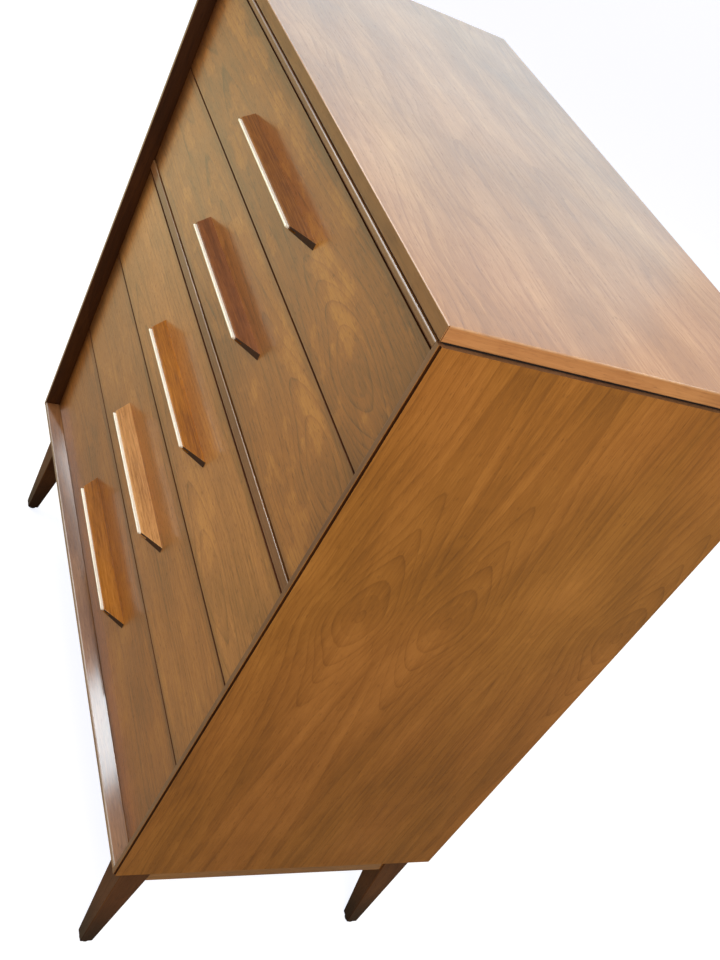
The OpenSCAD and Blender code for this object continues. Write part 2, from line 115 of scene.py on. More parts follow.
class Wiring:
    """Adds nodes to one node tree and joins them."""

    def __init__(self, tree: bpy.types.NodeTree) -> None:
        """Takes the tree that the nodes go into."""
        self.tree = tree

    def add(self, kind: str, inputs: dict | None = None, **settings: object) -> bpy.types.Node:
        """Adds a node.

        Args:
            kind: the node's type.
            inputs: input name or number to a value or to the socket that feeds it.
            settings: the node's own settings.

        Returns:
            The new node.
        """
        node = self.tree.nodes.new(kind)
        for key, value in settings.items():
            setattr(node, key, value)
        for key, value in (inputs or {}).items():
            self.feed(node.inputs[key], value)
        return node

    def feed(self, socket: Socket, value: object) -> None:
        """Gives a socket a link or a plain value.

        Args:
            socket: the input socket.
            value: the socket that feeds it, or its value. A colour may leave out its alpha.
        """
        if isinstance(value, bpy.types.NodeSocket):
            self.tree.links.new(value, socket)
        elif hasattr(socket.default_value, "__len__") and len(value) < len(socket.default_value):
            socket.default_value = (*value, 1.0)
        else:
            socket.default_value = value

    def math(self, operation: str, *values: float | Socket, clamp: bool = False) -> Socket:
        """Adds a maths node.

        Args:
            operation: the node's operation.
            values: its inputs, in order.
            clamp: whether the result is held between 0 and 1.

        Returns:
            The result.
        """
        node = self.add("ShaderNodeMath", operation=operation, use_clamp=clamp)
        for socket, value in zip(node.inputs, values):
            self.feed(socket, value)
        return node.outputs[0]

    def plus(self, first: float | Socket, second: float | Socket) -> Socket:
        """Returns the sum of two values."""
        return self.math("ADD", first, second)

    def minus(self, first: float | Socket, second: float | Socket) -> Socket:
        """Returns the first value less the second."""
        return self.math("SUBTRACT", first, second)

    def times(self, first: float | Socket, second: float | Socket) -> Socket:
        """Returns the product of two values."""
        return self.math("MULTIPLY", first, second)

    def weigh(
        self, value: Socket, weight: float | Socket, total: float | Socket, clamp: bool = False
    ) -> Socket:
        """Adds a value times its weight to a total and returns the new total."""
        return self.math("MULTIPLY_ADD", value, weight, total, clamp=clamp)

    def sway(self, value: Socket, weight: float, total: float | Socket) -> Socket:
        """Moves a total by how far a value lies above or below one half."""
        return self.weigh(self.minus(value, 0.5), weight, total)

    def blend(self, factor: float | Socket, first: object, second: object, mode: str = "MIX") -> Socket:
        """Mixes two colours.

        Args:
            factor: 0 for the first and 1 for the second.
            first, second: colours or sockets.
            mode: the blend type.

        Returns:
            The mixed colour.
        """
        node = self.add("ShaderNodeMix", data_type="RGBA", blend_type=mode)
        for index, value in ((0, factor), (6, first), (7, second)):
            self.feed(node.inputs[index], value)
        return node.outputs[2]

    def noise(self, vector: Socket, scale: float, detail: float = 2.0, roughness: float = 0.5) -> Socket:
        """Adds a noise texture and returns its value."""
        inputs = {"Vector": vector, "Scale": scale, "Detail": detail, "Roughness": roughness}
        return self.add("ShaderNodeTexNoise", inputs).outputs["Fac"]

    def figure(
        self, vector: Socket, squeeze: float, scale: float, detail: float = 2.0, roughness: float = 0.5
    ) -> Socket:
        """Returns noise that is drawn out along the grain, more so the smaller its squeeze."""
        return self.noise(self.stretch(vector, (1.0, 1.0, squeeze)), scale, detail, roughness)

    def remap(
        self, value: Socket, low: float, high: float, to_low: float = 0.0, to_high: float = 1.0
    ) -> Socket:
        """Maps a range smoothly onto another and returns the result."""
        inputs = {"Value": value, "From Min": low, "From Max": high, "To Min": to_low, "To Max": to_high}
        return self.add("ShaderNodeMapRange", inputs, interpolation_type="SMOOTHSTEP").outputs["Result"]

    def stretch(self, vector: Socket, factors: tuple[float, float, float]) -> Socket:
        """Scales a vector along its axes and returns it."""
        return self.add("ShaderNodeVectorMath", {0: vector, 1: factors}, operation="MULTIPLY").outputs[0]

    def split(self, vector: Socket) -> list[Socket]:
        """Returns the three parts of a vector."""
        return list(self.add("ShaderNodeSeparateXYZ", {0: vector}).outputs)

    def place(self) -> Socket:
        """Returns the place on the piece, in the dresser's own metres."""
        return self.add("ShaderNodeTexCoord").outputs["Object"]

    def random(self, number: Socket) -> Socket:
        """Returns a random value that belongs to a number."""
        return self.add("ShaderNodeTexWhiteNoise", {"W": number}, noise_dimensions="1D").outputs["Value"]

    def bump(self, shader: bpy.types.Node, height: Socket, strength: float, distance: float) -> None:
        """Gives a shader a relief, whose depth is a distance in metres."""
        node = self.add("ShaderNodeBump", {"Height": height, "Strength": strength, "Distance": distance})
        self.feed(shader.inputs["Normal"], node.outputs[0])


class Effect:
    """A shader node group that several finishes share, built when it is first used.

    Each effect names its group, gives its inputs' defaults and names its outputs. A socket
    called Vector is a vector, and every other one is a number.
    """

    made: dict[str, bpy.types.NodeTree] = {}
    name: str
    inputs: dict[str, object]
    outputs: tuple[str, ...]

    def wire(self, wiring: Wiring, given: dict[str, Socket]) -> dict[str, Socket]:
        """Builds what is inside the group. Each effect has its own.

        Args:
            wiring: adds nodes to the group.
            given: the group's inputs, as sockets.

        Returns:
            Output name to the socket that feeds it.
        """
        raise NotImplementedError

    def tree(self) -> bpy.types.NodeTree:
        """Builds the group when it is first asked for.

        Returns:
            The group.
        """
        if self.name in self.made:
            return self.made[self.name]
        tree = bpy.data.node_groups.new(self.name, "ShaderNodeTree")
        for side, names in (("INPUT", self.inputs), ("OUTPUT", self.outputs)):
            for name in names:
                kind = "NodeSocketVector" if name == "Vector" else "NodeSocketFloat"
                socket = tree.interface.new_socket(name=name, in_out=side, socket_type=kind)
                if side == "INPUT":
                    socket.default_value = self.inputs[name]
        wiring = Wiring(tree)
        start = wiring.add("NodeGroupInput")
        end = wiring.add("NodeGroupOutput")
        given = {name: start.outputs[name] for name in self.inputs}
        for name, socket in self.wire(wiring, given).items():
            wiring.feed(end.inputs[name], socket)
        self.made[self.name] = tree
        return tree

    def use(self, wiring: Wiring, **inputs: object) -> dict[str, Socket]:
        """Places the group in a material.

        Args:
            wiring: adds nodes to the material.
            inputs: values or sockets, by input name with underscores for spaces.

        Returns:
            The group's outputs by name.
        """
        node = wiring.add("ShaderNodeGroup", node_tree=self.tree())
        for name, value in inputs.items():
            wiring.feed(node.inputs[name.replace("_", " ")], value)
        return {name: node.outputs[name] for name in self.outputs}


class BookMatch(Effect):
    """Folds the width of a panel into mirrored leaves of veneer, each a little lighter or darker."""

    name = "book_match"
    inputs = {"Vector": (0, 0, 0), "Leaf": 0.2, "Eye": 0.06}
    outputs = ("Vector", "Tone")

    def wire(self, wiring: Wiring, given: dict[str, Socket]) -> dict[str, Socket]:
        """Mirrors the across-grain coordinate at each leaf's edge.

        Args:
            wiring, given: as in Effect.wire.

        Returns:
            Output name to the socket that feeds it.
        """
        x, y, z = wiring.split(given["Vector"])
        across = wiring.minus(wiring.math("PINGPONG", x, given["Leaf"]), given["Eye"])
        joined = wiring.add("ShaderNodeCombineXYZ", {0: across, 1: y, 2: z})
        number = wiring.math("FLOOR", wiring.math("DIVIDE", x, given["Leaf"]))
        return {"Vector": joined.outputs[0], "Tone": wiring.random(wiring.plus(number, 0.37))}


class GrowthRings(Effect):
    """Growth rings of a slightly leaning trunk, cut flat: ovals, arches and long straight lines."""

    name = "growth_rings"
    inputs = {
        "Vector": (0, 0, 0), "Depth": 0.03, "Lean": 0.1, "Eye Length": 0.05, "Taper": 0.1, "Spacing": 0.008,
        "Warp": 0.01,
    }
    outputs = ("Ring", "Tone")
    squareness = 1.75

    def wire(self, wiring: Wiring, given: dict[str, Socket]) -> dict[str, Socket]:
        """Measures the distance from the trunk's middle and cuts it into rings.

        Args:
            wiring, given: as in Effect.wire.

        Returns:
            Output name to the socket that feeds it.
        """
        wide = wiring.figure(given["Vector"], 0.3, 8.0)
        fine = wiring.figure(given["Vector"], 0.15, 55.0, 3.0)
        x, y, z = wiring.split(given["Vector"])
        bend = wiring.times(wiring.minus(wide, 0.5), given["Warp"])
        across = wiring.math("ABSOLUTE", wiring.weigh(bend, 1.6, x))
        squared = wiring.plus(wiring.math("POWER", z, 2.0), wiring.math("POWER", given["Eye Length"], 2.0))
        reach = wiring.minus(wiring.math("SQRT", squared), given["Eye Length"])
        slowing = wiring.plus(wiring.math("DIVIDE", reach, given["Taper"]), 1.0)
        depth = wiring.weigh(wiring.math("DIVIDE", reach, slowing), given["Lean"], given["Depth"])
        depth = wiring.math("ABSOLUTE", wiring.plus(depth, y))
        sides = [wiring.math("POWER", side, self.squareness) for side in (across, depth)]
        radius = wiring.plus(wiring.math("POWER", wiring.plus(*sides), 1 / self.squareness), bend)
        settings = {"W": radius, "Scale": 28.0, "Detail": 2.0}
        years = wiring.add("ShaderNodeTexNoise", settings, noise_dimensions="1D").outputs["Fac"]
        even = wiring.math("DIVIDE", radius, given["Spacing"])
        rings = wiring.sway(fine, 0.35, wiring.weigh(years, 4.0, even))
        part = wiring.math("FRACT", rings)
        soft = wiring.times(wiring.math("POWER", part, 3.0), 0.45)
        line = wiring.times(wiring.math("POWER", part, 14.0), 0.55)
        edge = wiring.remap(part, 0.94, 1.0, 1.0, 0.0)
        tone = wiring.random(wiring.math("FLOOR", rings))
        ring = wiring.times(wiring.times(wiring.plus(soft, line), edge), wiring.weigh(tone, 0.85, 0.15))
        return {"Ring": ring, "Tone": tone}


class Fibre(Effect):
    """Long streaks, soft patches, sharper clouds, a drift of hue and short dark pores along the grain."""

    name = "wood_fibre"
    inputs = {"Vector": (0, 0, 0), "Pore Amount": 0.5}
    outputs = ("Streak", "Patch", "Cloud", "Hue", "Pores")

    def wire(self, wiring: Wiring, given: dict[str, Socket]) -> dict[str, Socket]:
        """Stretches noise of several sizes along the grain.

        Args:
            wiring, given: as in Effect.wire.

        Returns:
            Output name to the socket that feeds it.
        """
        vector = given["Vector"]
        coarse = wiring.figure(vector, 0.05, 90.0, 3.0, 0.6)
        middle = wiring.figure(vector, 0.05, 330.0, 2.0, 0.6)
        hair = wiring.figure(vector, 0.05, 800.0, 2.0, 0.6)
        streak = wiring.weigh(middle, 0.35, wiring.weigh(hair, 0.4, wiring.times(coarse, 0.25)))
        dashes = wiring.figure(vector, 0.1, 820.0, 1.0)
        low = wiring.weigh(given["Pore Amount"], -0.14, 0.7)
        return {
            "Streak": streak,
            "Patch": wiring.figure(vector, 0.3, 13.0, 3.0, 0.55),
            "Cloud": wiring.remap(wiring.figure(vector, 0.45, 21.0, 5.0, 0.62), 0.52, 0.6),
            "Hue": wiring.remap(wiring.figure(vector, 0.4, 5.0), 0.35, 0.65),
            "Pores": wiring.math("MULTIPLY", wiring.minus(dashes, low), 10.0, clamp=True),
        }


class Handling(Effect):
    """Where years of hands and dusters have dulled or polished the lacquer."""

    name = "handling"
    inputs = {"Vector": (0, 0, 0), "Amount": 0.1}
    outputs = ("Sheen Loss",)

    def wire(self, wiring: Wiring, given: dict[str, Socket]) -> dict[str, Socket]:
        """Adds soft smears to fine rubbed lines.

        Args:
            wiring, given: as in Effect.wire.

        Returns:
            Output name to the socket that feeds it.
        """
        smear = wiring.noise(given["Vector"], 14.0, 3.0, 0.6)
        rubbed = wiring.figure(given["Vector"], 0.1, 260.0)
        mixed = wiring.weigh(rubbed, 0.4, wiring.times(smear, 0.6))
        return {"Sheen Loss": wiring.times(wiring.minus(mixed, 0.5), given["Amount"])}


class WornArris(Effect):
    """Edges where the stain is rubbed thin, on the faces that a chamfer has marked."""

    name = "worn_arris"
    inputs = {"Vector": (0, 0, 0), "Amount": 0.5}
    outputs = ("Mask",)

    def wire(self, wiring: Wiring, given: dict[str, Socket]) -> dict[str, Socket]:
        """Breaks up the marked faces with noise.

        Args:
            wiring, given: as in Effect.wire.

        Returns:
            Output name to the socket that feeds it.
        """
        marked = wiring.add("ShaderNodeAttribute", attribute_name="arris").outputs["Fac"]
        broken = wiring.remap(wiring.noise(given["Vector"], 35.0, 3.0), 0.3, 0.6, 0.35, 1.0)
        return {"Mask": wiring.times(wiring.times(marked, broken), given["Amount"])}


# ---- finishes


@dataclass(frozen=True)
class Finish:
    """A finish that a piece can be given."""

    name: str

    def build(self, wiring: Wiring, shader: bpy.types.Node) -> None:
        """Wires the finish into a material. Each kind of finish has its own.

        Args:
            wiring: adds nodes to the material.
            shader: the material's Principled BSDF.
        """
        raise NotImplementedError

    def material(self) -> bpy.types.Material:
        """Makes the finish's material when it is first asked for.

        Returns:
            The material.
        """
        name = f"{self.name}_finish"
        known = bpy.data.materials.get(name)
        if known:
            return known
        material = bpy.data.materials.new(name)
        material.use_nodes = True
        tree = material.node_tree
        self.build(Wiring(tree), tree.nodes["Principled BSDF"])
        return material


@dataclass(frozen=True)
class Wood(Finish):
    """Stained and lacquered wood, with its figure placed on one piece."""

    light: Colour = tint(168, 111, 46)
    middle: Colour = tint(134, 83, 28)
    dark: Colour = tint(82, 44, 13)
    pore: Colour = tint(66, 34, 12)
    # near-black brown of the painted shade at the drawer fronts' left ends
    corner_shade: Colour = tint(60, 26, 4)
    # near-black of the painted shade towards the floor
    foot_shade: Colour = tint(28, 12, 8)
    red_cast: Colour = (1.05, 0.9, 1.3)
    grain: Grain = Grain.FRONT_LONG
    shift: tuple[float, float, float] = (0.0, 0.0, 0.0)
    leaf: float = 0.0
    eye: float = 0.0
    depth: float = 0.009
    lean: float = 0.78
    eye_length: float = 0.02
    taper: float = 0.08
    spacing: float = 0.008
    warp: float = 0.02
    base_tone: float = 0.54
    ring_weight: float = 0.5
    tone_weight: float = 0.08
    leaf_weight: float = 0.0
    streak_weight: float = 1.3
    patch_weight: float = 0.9
    cloud_weight: float = 0.06
    redden: float = 0.3
    pore_amount: float = 0.5
    sheen: float = 0.4
    specular: float = 0.12
    coat: float = 1.0
    coat_sheen: float = 0.15
    worn: float = 0.35
    relief: float = 0.25
    relief_depth: float = 0.0004
    pore_relief: float = -0.6
    streak_relief: float = 0.4
    pore_strength: float = 0.4
    pore_dulling: float = 0.12
    handled: float = 0.25
    foot_fade: float = 0.0
    foot_start: float = 0.015
    foot_strength: float = 0.85
    # a front's outline, round which painted shade darkens it
    rim: tuple[float, float, float, float] | None = None

    def polished(self, name: str, **changes: object) -> "Wood":
        """Returns the same wood on an arris that hands have polished, under another name."""
        return replace(self, name=name, sheen=0.2, specular=0.5, coat=1.0, coat_sheen=0.06, **changes)

    def build(self, wiring: Wiring, shader: bpy.types.Node) -> None:
        """Wires rings, fibre, wear and lacquer.

        Args:
            wiring, shader: as in Finish.build.
        """
        place = wiring.place()
        turns = {"Vector": place, "Rotation": self.grain.value, "Location": self.shift}
        vector = leaf_vector = wiring.add("ShaderNodeMapping", turns).outputs[0]
        tone: float | Socket = self.base_tone
        if self.leaf:
            leaves = BookMatch().use(wiring, Vector=vector, Leaf=self.leaf, Eye=self.eye)
            leaf_vector = leaves["Vector"]
            tone = wiring.weigh(leaves["Tone"], self.leaf_weight, self.base_tone - self.leaf_weight / 2)
        rings = GrowthRings().use(
            wiring, Vector=leaf_vector, Depth=self.depth, Lean=self.lean, Eye_Length=self.eye_length,
            Taper=self.taper, Spacing=self.spacing, Warp=self.warp,
        )
        fibre = Fibre().use(wiring, Vector=leaf_vector, Pore_Amount=self.pore_amount)
        for value, weight in (
            (fibre["Streak"], self.streak_weight),
            (fibre["Patch"], self.patch_weight),
            (fibre["Cloud"], self.cloud_weight),
            (rings["Tone"], self.tone_weight),
        ):
            tone = wiring.sway(value, weight, tone)
        tone = wiring.weigh(rings["Ring"], -self.ring_weight, tone, clamp=True)
        ramp = wiring.add("ShaderNodeValToRGB", {0: tone})
        self._stops(ramp.color_ramp)
        redder = wiring.times(fibre["Hue"], self.redden)
        colour = wiring.blend(redder, ramp.outputs[0], self.red_cast, "MULTIPLY")
        colour = wiring.blend(wiring.times(fibre["Pores"], self.pore_strength), colour, self.pore)
        worn = WornArris().use(wiring, Vector=vector, Amount=self.worn)["Mask"]
        colour = wiring.blend(worn, colour, self.light)
        if self.foot_fade:
            colour = self._painted_foot_shade(wiring, place, colour)
        # painted shade round a front's rim
        if self.rim:
            colour = self._painted_rim_shade(wiring, place, colour)
        wiring.feed(shader.inputs["Base Color"], colour)
        dulled = Handling().use(wiring, Vector=vector, Amount=self.handled)["Sheen Loss"]
        rough = wiring.weigh(fibre["Pores"], self.pore_dulling, wiring.plus(dulled, self.sheen), clamp=True)
        wiring.feed(shader.inputs["Roughness"], rough)
        shader.inputs["Specular IOR Level"].default_value = self.specular
        shader.inputs["Coat Weight"].default_value = self.coat
        shader.inputs["Coat Roughness"].default_value = self.coat_sheen
        streaks = wiring.times(fibre["Streak"], self.streak_relief)
        height = wiring.weigh(fibre["Pores"], self.pore_relief, streaks)
        wiring.bump(shader, height, self.relief, self.relief_depth)

    def _stops(self, ramp: bpy.types.ColorRamp) -> None:
        """Sets a ramp from the dark to the light colour.

        Args:
            ramp: the ramp, which starts with two stops.
        """
        ramp.interpolation = "LINEAR"
        ramp.elements.new(0.5)
        for stop, colour in zip(ramp.elements, (self.dark, self.middle, self.light)):
            stop.color = (*colour, 1.0)

    def _painted_foot_shade(self, wiring: Wiring, place: Socket, colour: Socket) -> Socket:
        """Darkens the wood towards the floor with painted shade.

        Args:
            wiring: adds nodes to the material.
            place: the object coordinates.
            colour: the wood's colour.

        Returns:
            The colour with the foot in it.
        """
        uneven = wiring.times(wiring.noise(place, 30.0), 0.02)
        height = wiring.plus(wiring.split(place)[2], uneven)
        near = wiring.remap(height, self.foot_start, self.foot_fade, 1.0, 0.0)
        return wiring.blend(wiring.times(near, self.foot_strength), colour, self.foot_shade)

    def _painted_rim_shade(self, wiring: Wiring, place: Socket, colour: Socket) -> Socket:
        """Darkens a front round its rim with painted shade, most of all at its left end.

        Args:
            wiring: adds nodes to the material.
            place: the object coordinates.
            colour: the wood's colour.

        Returns:
            The colour with the painted shade in it.
        """
        left, right, low, high = self.rim
        x, _, z = wiring.split(place)
        uneven = wiring.times(wiring.noise(place, 24.0), 0.008)
        # painted shade: the left end fades to a near-black brown, the other edges to the dark tone
        corner = wiring.remap(wiring.minus(x, uneven), left + 0.002, left + 0.04, 0.82, 0.0)
        end = wiring.remap(wiring.plus(x, uneven), right - 0.008, right, 0.0, 0.5)
        lower = wiring.remap(wiring.minus(z, uneven), low - 0.004, low + 0.01, 0.6, 0.0)
        upper = wiring.remap(wiring.plus(z, uneven), high - 0.012, high + 0.004, 0.0, 0.8)
        edges = wiring.math("MAXIMUM", lower, upper)
        amount = wiring.times(wiring.math("MAXIMUM", end, edges), 0.75)
        return wiring.blend(corner, wiring.blend(amount, colour, self.dark), self.corner_shade)


@dataclass(frozen=True)
class Board(Finish):
    """Unlacquered board: pressed fibre or the matt inside of a drawer."""

    colour: Colour
    speck: Colour
    sheen: float = 0.75
    scale: float = 260.0

    def build(self, wiring: Wiring, shader: bpy.types.Node) -> None:
        """Wires flecks, soft stains and a dull surface.

        Args:
            wiring, shader: as in Finish.build.
        """
        place = wiring.place()
        fleck = wiring.remap(wiring.noise(place, self.scale, 3.0, 0.7), 0.45, 0.75)
        patches = wiring.remap(wiring.noise(place, 4.0, 3.0), 0.3, 0.8, 0.0, 0.35)
        colour = wiring.blend(wiring.times(fleck, 0.5), self.colour, self.speck)
        wiring.feed(shader.inputs["Base Color"], wiring.blend(patches, colour, self.speck))
        wiring.feed(shader.inputs["Roughness"], wiring.weigh(fleck, 0.1, self.sheen))
        wiring.bump(shader, fleck, 0.3, 0.0003)
        shader.inputs["Specular IOR Level"].default_value = 0.3


@dataclass(frozen=True)
class Metal(Finish):
    """Bare metal, brushed along X or turned."""

    colour: Colour
    dull: Colour
    sheen: float = 0.24
    tarnish: float = 0.35
    metallic: float = 1.0

    def build(self, wiring: Wiring, shader: bpy.types.Node) -> None:
        """Wires brushing lines and a thin tarnish.

        Args:
            wiring, shader: as in Finish.build.
        """
        place = wiring.place()
        lines = wiring.noise(wiring.stretch(place, (0.02, 1.0, 1.0)), 2500.0)
        cloud = wiring.remap(wiring.noise(place, 60.0, 4.0, 0.65), 0.5, 0.8, 0.0, self.tarnish)
        wiring.feed(shader.inputs["Base Color"], wiring.blend(cloud, self.colour, self.dull))
        rough = wiring.weigh(cloud, 0.4, wiring.weigh(lines, 0.12, self.sheen), clamp=True)
        wiring.feed(shader.inputs["Roughness"], rough)
        shader.inputs["Metallic"].default_value = self.metallic
        wiring.bump(shader, lines, 0.12, 0.0001)


@dataclass(frozen=True)
class Plastic(Finish):
    """Dull moulded plastic with scuffs."""

    colour: Colour = tint(38, 34, 32)
    scuffed: Colour = tint(78, 72, 68)

    def build(self, wiring: Wiring, shader: bpy.types.Node) -> None:
        """Wires scuffs and a fine moulded grain.

        Args:
            wiring, shader: as in Finish.build.
        """
        place = wiring.place()
        scuff = wiring.remap(wiring.noise(place, 180.0, 4.0, 0.7), 0.5, 0.75)
        wiring.feed(shader.inputs["Base Color"], wiring.blend(scuff, self.colour, self.scuffed))
        wiring.feed(shader.inputs["Roughness"], wiring.weigh(scuff, 0.2, 0.5))
        wiring.bump(shader, wiring.noise(place, 1500.0), 0.15, 0.0001)


# ---- modelling


def place_in_scene(name: str, data: bpy.types.ID) -> bpy.types.Object:
    """Adds an object to the scene.

    Args:
        name: the object's name.
        data: the mesh, the lamp or the camera that it holds.

    Returns:
        The object.
    """
    obj = bpy.data.objects.new(name, data)
    bpy.context.scene.collection.objects.link(obj)
    return obj


def shared(a: Vector, b: Vector, low: Vector, high: Vector, gap: float = CLOSE) -> set[Side]:
    """Names the sides of a box that an edge lies on.

    Args:
        a, b: the edge's ends.
        low, high: the box's corners.
        gap: how close counts as on a side, in metres.

    Returns:
        The sides.
    """

    def on(point: Vector, side: Side) -> bool:
        """Whether a point lies on a side."""
        axis, end = side.value
        return abs(point[axis] - (low, high)[end][axis]) < gap

    return {side for side in Side if on(a, side) and on(b, side)}


class Workpiece:
    """One piece on the bench: shaped in edit mode, dressed, and then fitted to the dresser."""

    smooth_below = 32.0
    sharp_above = 20.0
    flat_below = 0.2
    weld = 2e-6

    def __init__(self, obj: bpy.types.Object) -> None:
        """Takes the object to be worked on."""
        self.obj = obj

    @classmethod
    def from_node(cls, node: str, name: str) -> "Workpiece":
        """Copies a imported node, joins its loose triangles and clears its flat faces.

        Args:
            node: the node's name.
            name: the new piece's name.

        Returns:
            The new piece.
        """
        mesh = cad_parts[node].data.copy()
        mesh.materials.clear()
        piece = cls(place_in_scene(name, mesh))
        piece.edit()
        bpy.ops.mesh.select_all(action="SELECT")
        bpy.ops.mesh.customdata_custom_splitnormals_clear()
        bpy.ops.mesh.remove_doubles(threshold=cls.weld)
        bpy.ops.mesh.dissolve_limited(angle_limit=math.radians(cls.flat_below))
        piece.rest()
        return piece

    @classmethod
    def shaped(cls, name: str, add: Callable, **settings: object) -> "Workpiece":
        """Starts a piece from a plain shape.

        Args:
            name: the new piece's name.
            add: the operator that adds the shape.
            settings: the operator's settings.

        Returns:
            The new piece.
        """
        bpy.ops.object.select_all(action="DESELECT")
        add(**settings)
        obj = bpy.context.active_object
        obj.name = obj.data.name = name
        bpy.ops.object.transform_apply(location=True, rotation=True, scale=True)
        return cls(obj)

    @classmethod
    def drum(cls, name: str, radius: float, height: float, sides: int, base: float = 0.0) -> "Workpiece":
        """Starts a piece from an upright drum on the Z axis, with its foot at a height."""
        size = {"radius": radius, "depth": height, "location": (0, 0, base + height / 2)}
        return cls.shaped(name, bpy.ops.mesh.primitive_cylinder_add, vertices=sides, **size)

    def alone(self) -> None:
        """Makes this piece the only one selected, and the active one."""
        bpy.ops.object.select_all(action="DESELECT")
        self.obj.select_set(True)
        bpy.context.view_layer.objects.active = self.obj

    def edit(self) -> None:
        """Enters edit mode, where edges and faces can be picked."""
        self.alone()
        bpy.context.tool_settings.mesh_select_mode = (False, True, False)
        bpy.ops.object.mode_set(mode="EDIT")

    def rest(self) -> None:
        """Leaves edit mode."""
        bpy.ops.object.mode_set(mode="OBJECT")

    def limits(self) -> tuple[Vector, Vector]:
        """Returns the lowest and the highest corner of the piece."""
        points = [vertex.co for vertex in self.obj.data.vertices]
        return tuple(Vector(end(point[axis] for point in points) for axis in range(3)) for end in (min, max))

    def pick_edges(self, test: EdgeTest) -> int:
        """Picks outward sharp edges.

        Args:
            test: says of an edge's two ends whether it is wanted.

        Returns:
            How many were picked.
        """
        work = bmesh.from_edit_mesh(self.obj.data)
        count = 0
        for edge in work.edges:
            solid = len(edge.link_faces) == 2 and edge.is_convex
            keen = solid and math.degrees(edge.calc_face_angle(0.0)) > self.sharp_above
            edge.select = bool(keen and test(edge.verts[0].co, edge.verts[1].co))
            count += edge.select
        work.select_flush_mode()
        bmesh.update_edit_mesh(self.obj.data)
        return count

    def chamfer(self, width: float, test: EdgeTest, segments: int = 2, worn: bool = True) -> None:
        """Rounds the picked edges and marks the new faces as arris.

        Args:
            width: the width taken off each face, in metres.
            test: says of an edge's two ends whether it is rounded.
            segments: how many flats the round has.
            worn: whether the new faces show wear.
        """
        self.edit()
        count = self.pick_edges(test)
        if count:
            bpy.ops.mesh.bevel(
                offset=width, segments=segments, profile=0.5, affect="EDGES", clamp_overlap=True
            )
        self.rest()
        mesh = self.obj.data
        marks = mesh.attributes.get("arris") or mesh.attributes.new("arris", "FLOAT", "FACE")
        if count and worn:
            for polygon in mesh.polygons:
                if polygon.select:
                    marks.data[polygon.index].value = 1.0

    def modify(self, kind: str, **settings: object) -> None:
        """Adds a modifier and applies it.

        Args:
            kind: the modifier's type.
            settings: the modifier's own settings.
        """
        self.alone()
        modifier = self.obj.modifiers.new(kind.lower(), kind)
        for name, value in settings.items():
            setattr(modifier, name, value)
        bpy.ops.object.modifier_apply(modifier=modifier.name)

    def cut(self, tool: "Workpiece") -> None:
        """Takes another piece's shape out of this one, and throws the other away."""
        self.modify("BOOLEAN", operation="DIFFERENCE", solver="EXACT", object=tool.obj)
        bpy.data.objects.remove(tool.obj)

    def twin(self, name: str, change: Matrix) -> "Workpiece":
        """Copies the piece with a mesh of its own.

        Args:
            name: the copy's name.
            change: where the copy goes.

        Returns:
            The copy.
        """
        mesh = self.obj.data.copy()
        mesh.transform(change)
        return Workpiece(place_in_scene(name, mesh))

    def join(self, others: list["Workpiece"]) -> None:
        """Joins other pieces into this one.

        Args:
            others: the pieces, which are used up.
        """
        self.alone()
        for other in others:
            other.obj.select_set(True)
        bpy.ops.object.join()

    def set_out(self, name: str, changes: list[Matrix]) -> "Workpiece":
        """Makes one piece of a copy for each matrix, and throws this pattern away.

        Args:
            name: the joined piece's name.
            changes: where each copy goes.

        Returns:
            The joined piece.
        """
        copies = [self.twin(f"{name}_{number}", change) for number, change in enumerate(changes)]
        bpy.data.objects.remove(self.obj)
        copies[0].join(copies[1:])
        copies[0].obj.name = name
        return copies[0]

    def dress(self, finish: Finish, where: FaceTest | None = None) -> None:
        """Gives faces a finish.

        Args:
            finish: the finish.
            where: says of a face's middle and normal whether it is covered. None covers all.
        """
        mesh = self.obj.data
        material = finish.material()
        if material.name not in mesh.materials:
            mesh.materials.append(material)
        index = mesh.materials.find(material.name)
        for polygon in mesh.polygons:
            if where is None or where(polygon.center, polygon.normal):
                polygon.material_index = index

    def fit(self, body: str, slot: str, *nodes: str) -> None:
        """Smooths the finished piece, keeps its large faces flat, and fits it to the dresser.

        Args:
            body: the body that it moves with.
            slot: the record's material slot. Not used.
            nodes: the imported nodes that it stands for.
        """
        self.alone()
        bpy.ops.object.shade_smooth_by_angle(angle=math.radians(self.smooth_below))
        self.modify("WEIGHTED_NORMAL", keep_sharp=True)
        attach(self.obj, body)
        if nodes:
            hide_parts(*nodes)
        LOG.info("%s: %d faces, stands for %s", self.obj.name, len(self.obj.data.polygons), list(nodes))


def dress_node(node: str, finish: Finish) -> None:
    """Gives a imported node, whose shape stays, a finish.

    Args:
        node: the node's name.
        finish: the finish.
    """
    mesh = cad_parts[node].data
    mesh.materials.clear()
    mesh.materials.append(finish.material())
    for polygon in mesh.polygons:
        polygon.material_index = 0


# ---- the finishes of this dresser


@dataclass(frozen=True)
class FrontFigure:
    """How the veneer of one drawer's front is cut, how it has aged, and where its painted shade begins.

    The eye is the middle of the ovals: how far along the front it lies, and how far above the
    front's mid-height. The paler a front is, the more of every colour channel it gains. The last
    number is how far in from the left end the painted shade of the corner begins, in metres.
    """

    eye: float
    above: float
    lean: float
    cloud: float
    paler: int
    shade_inset: float = 0.0


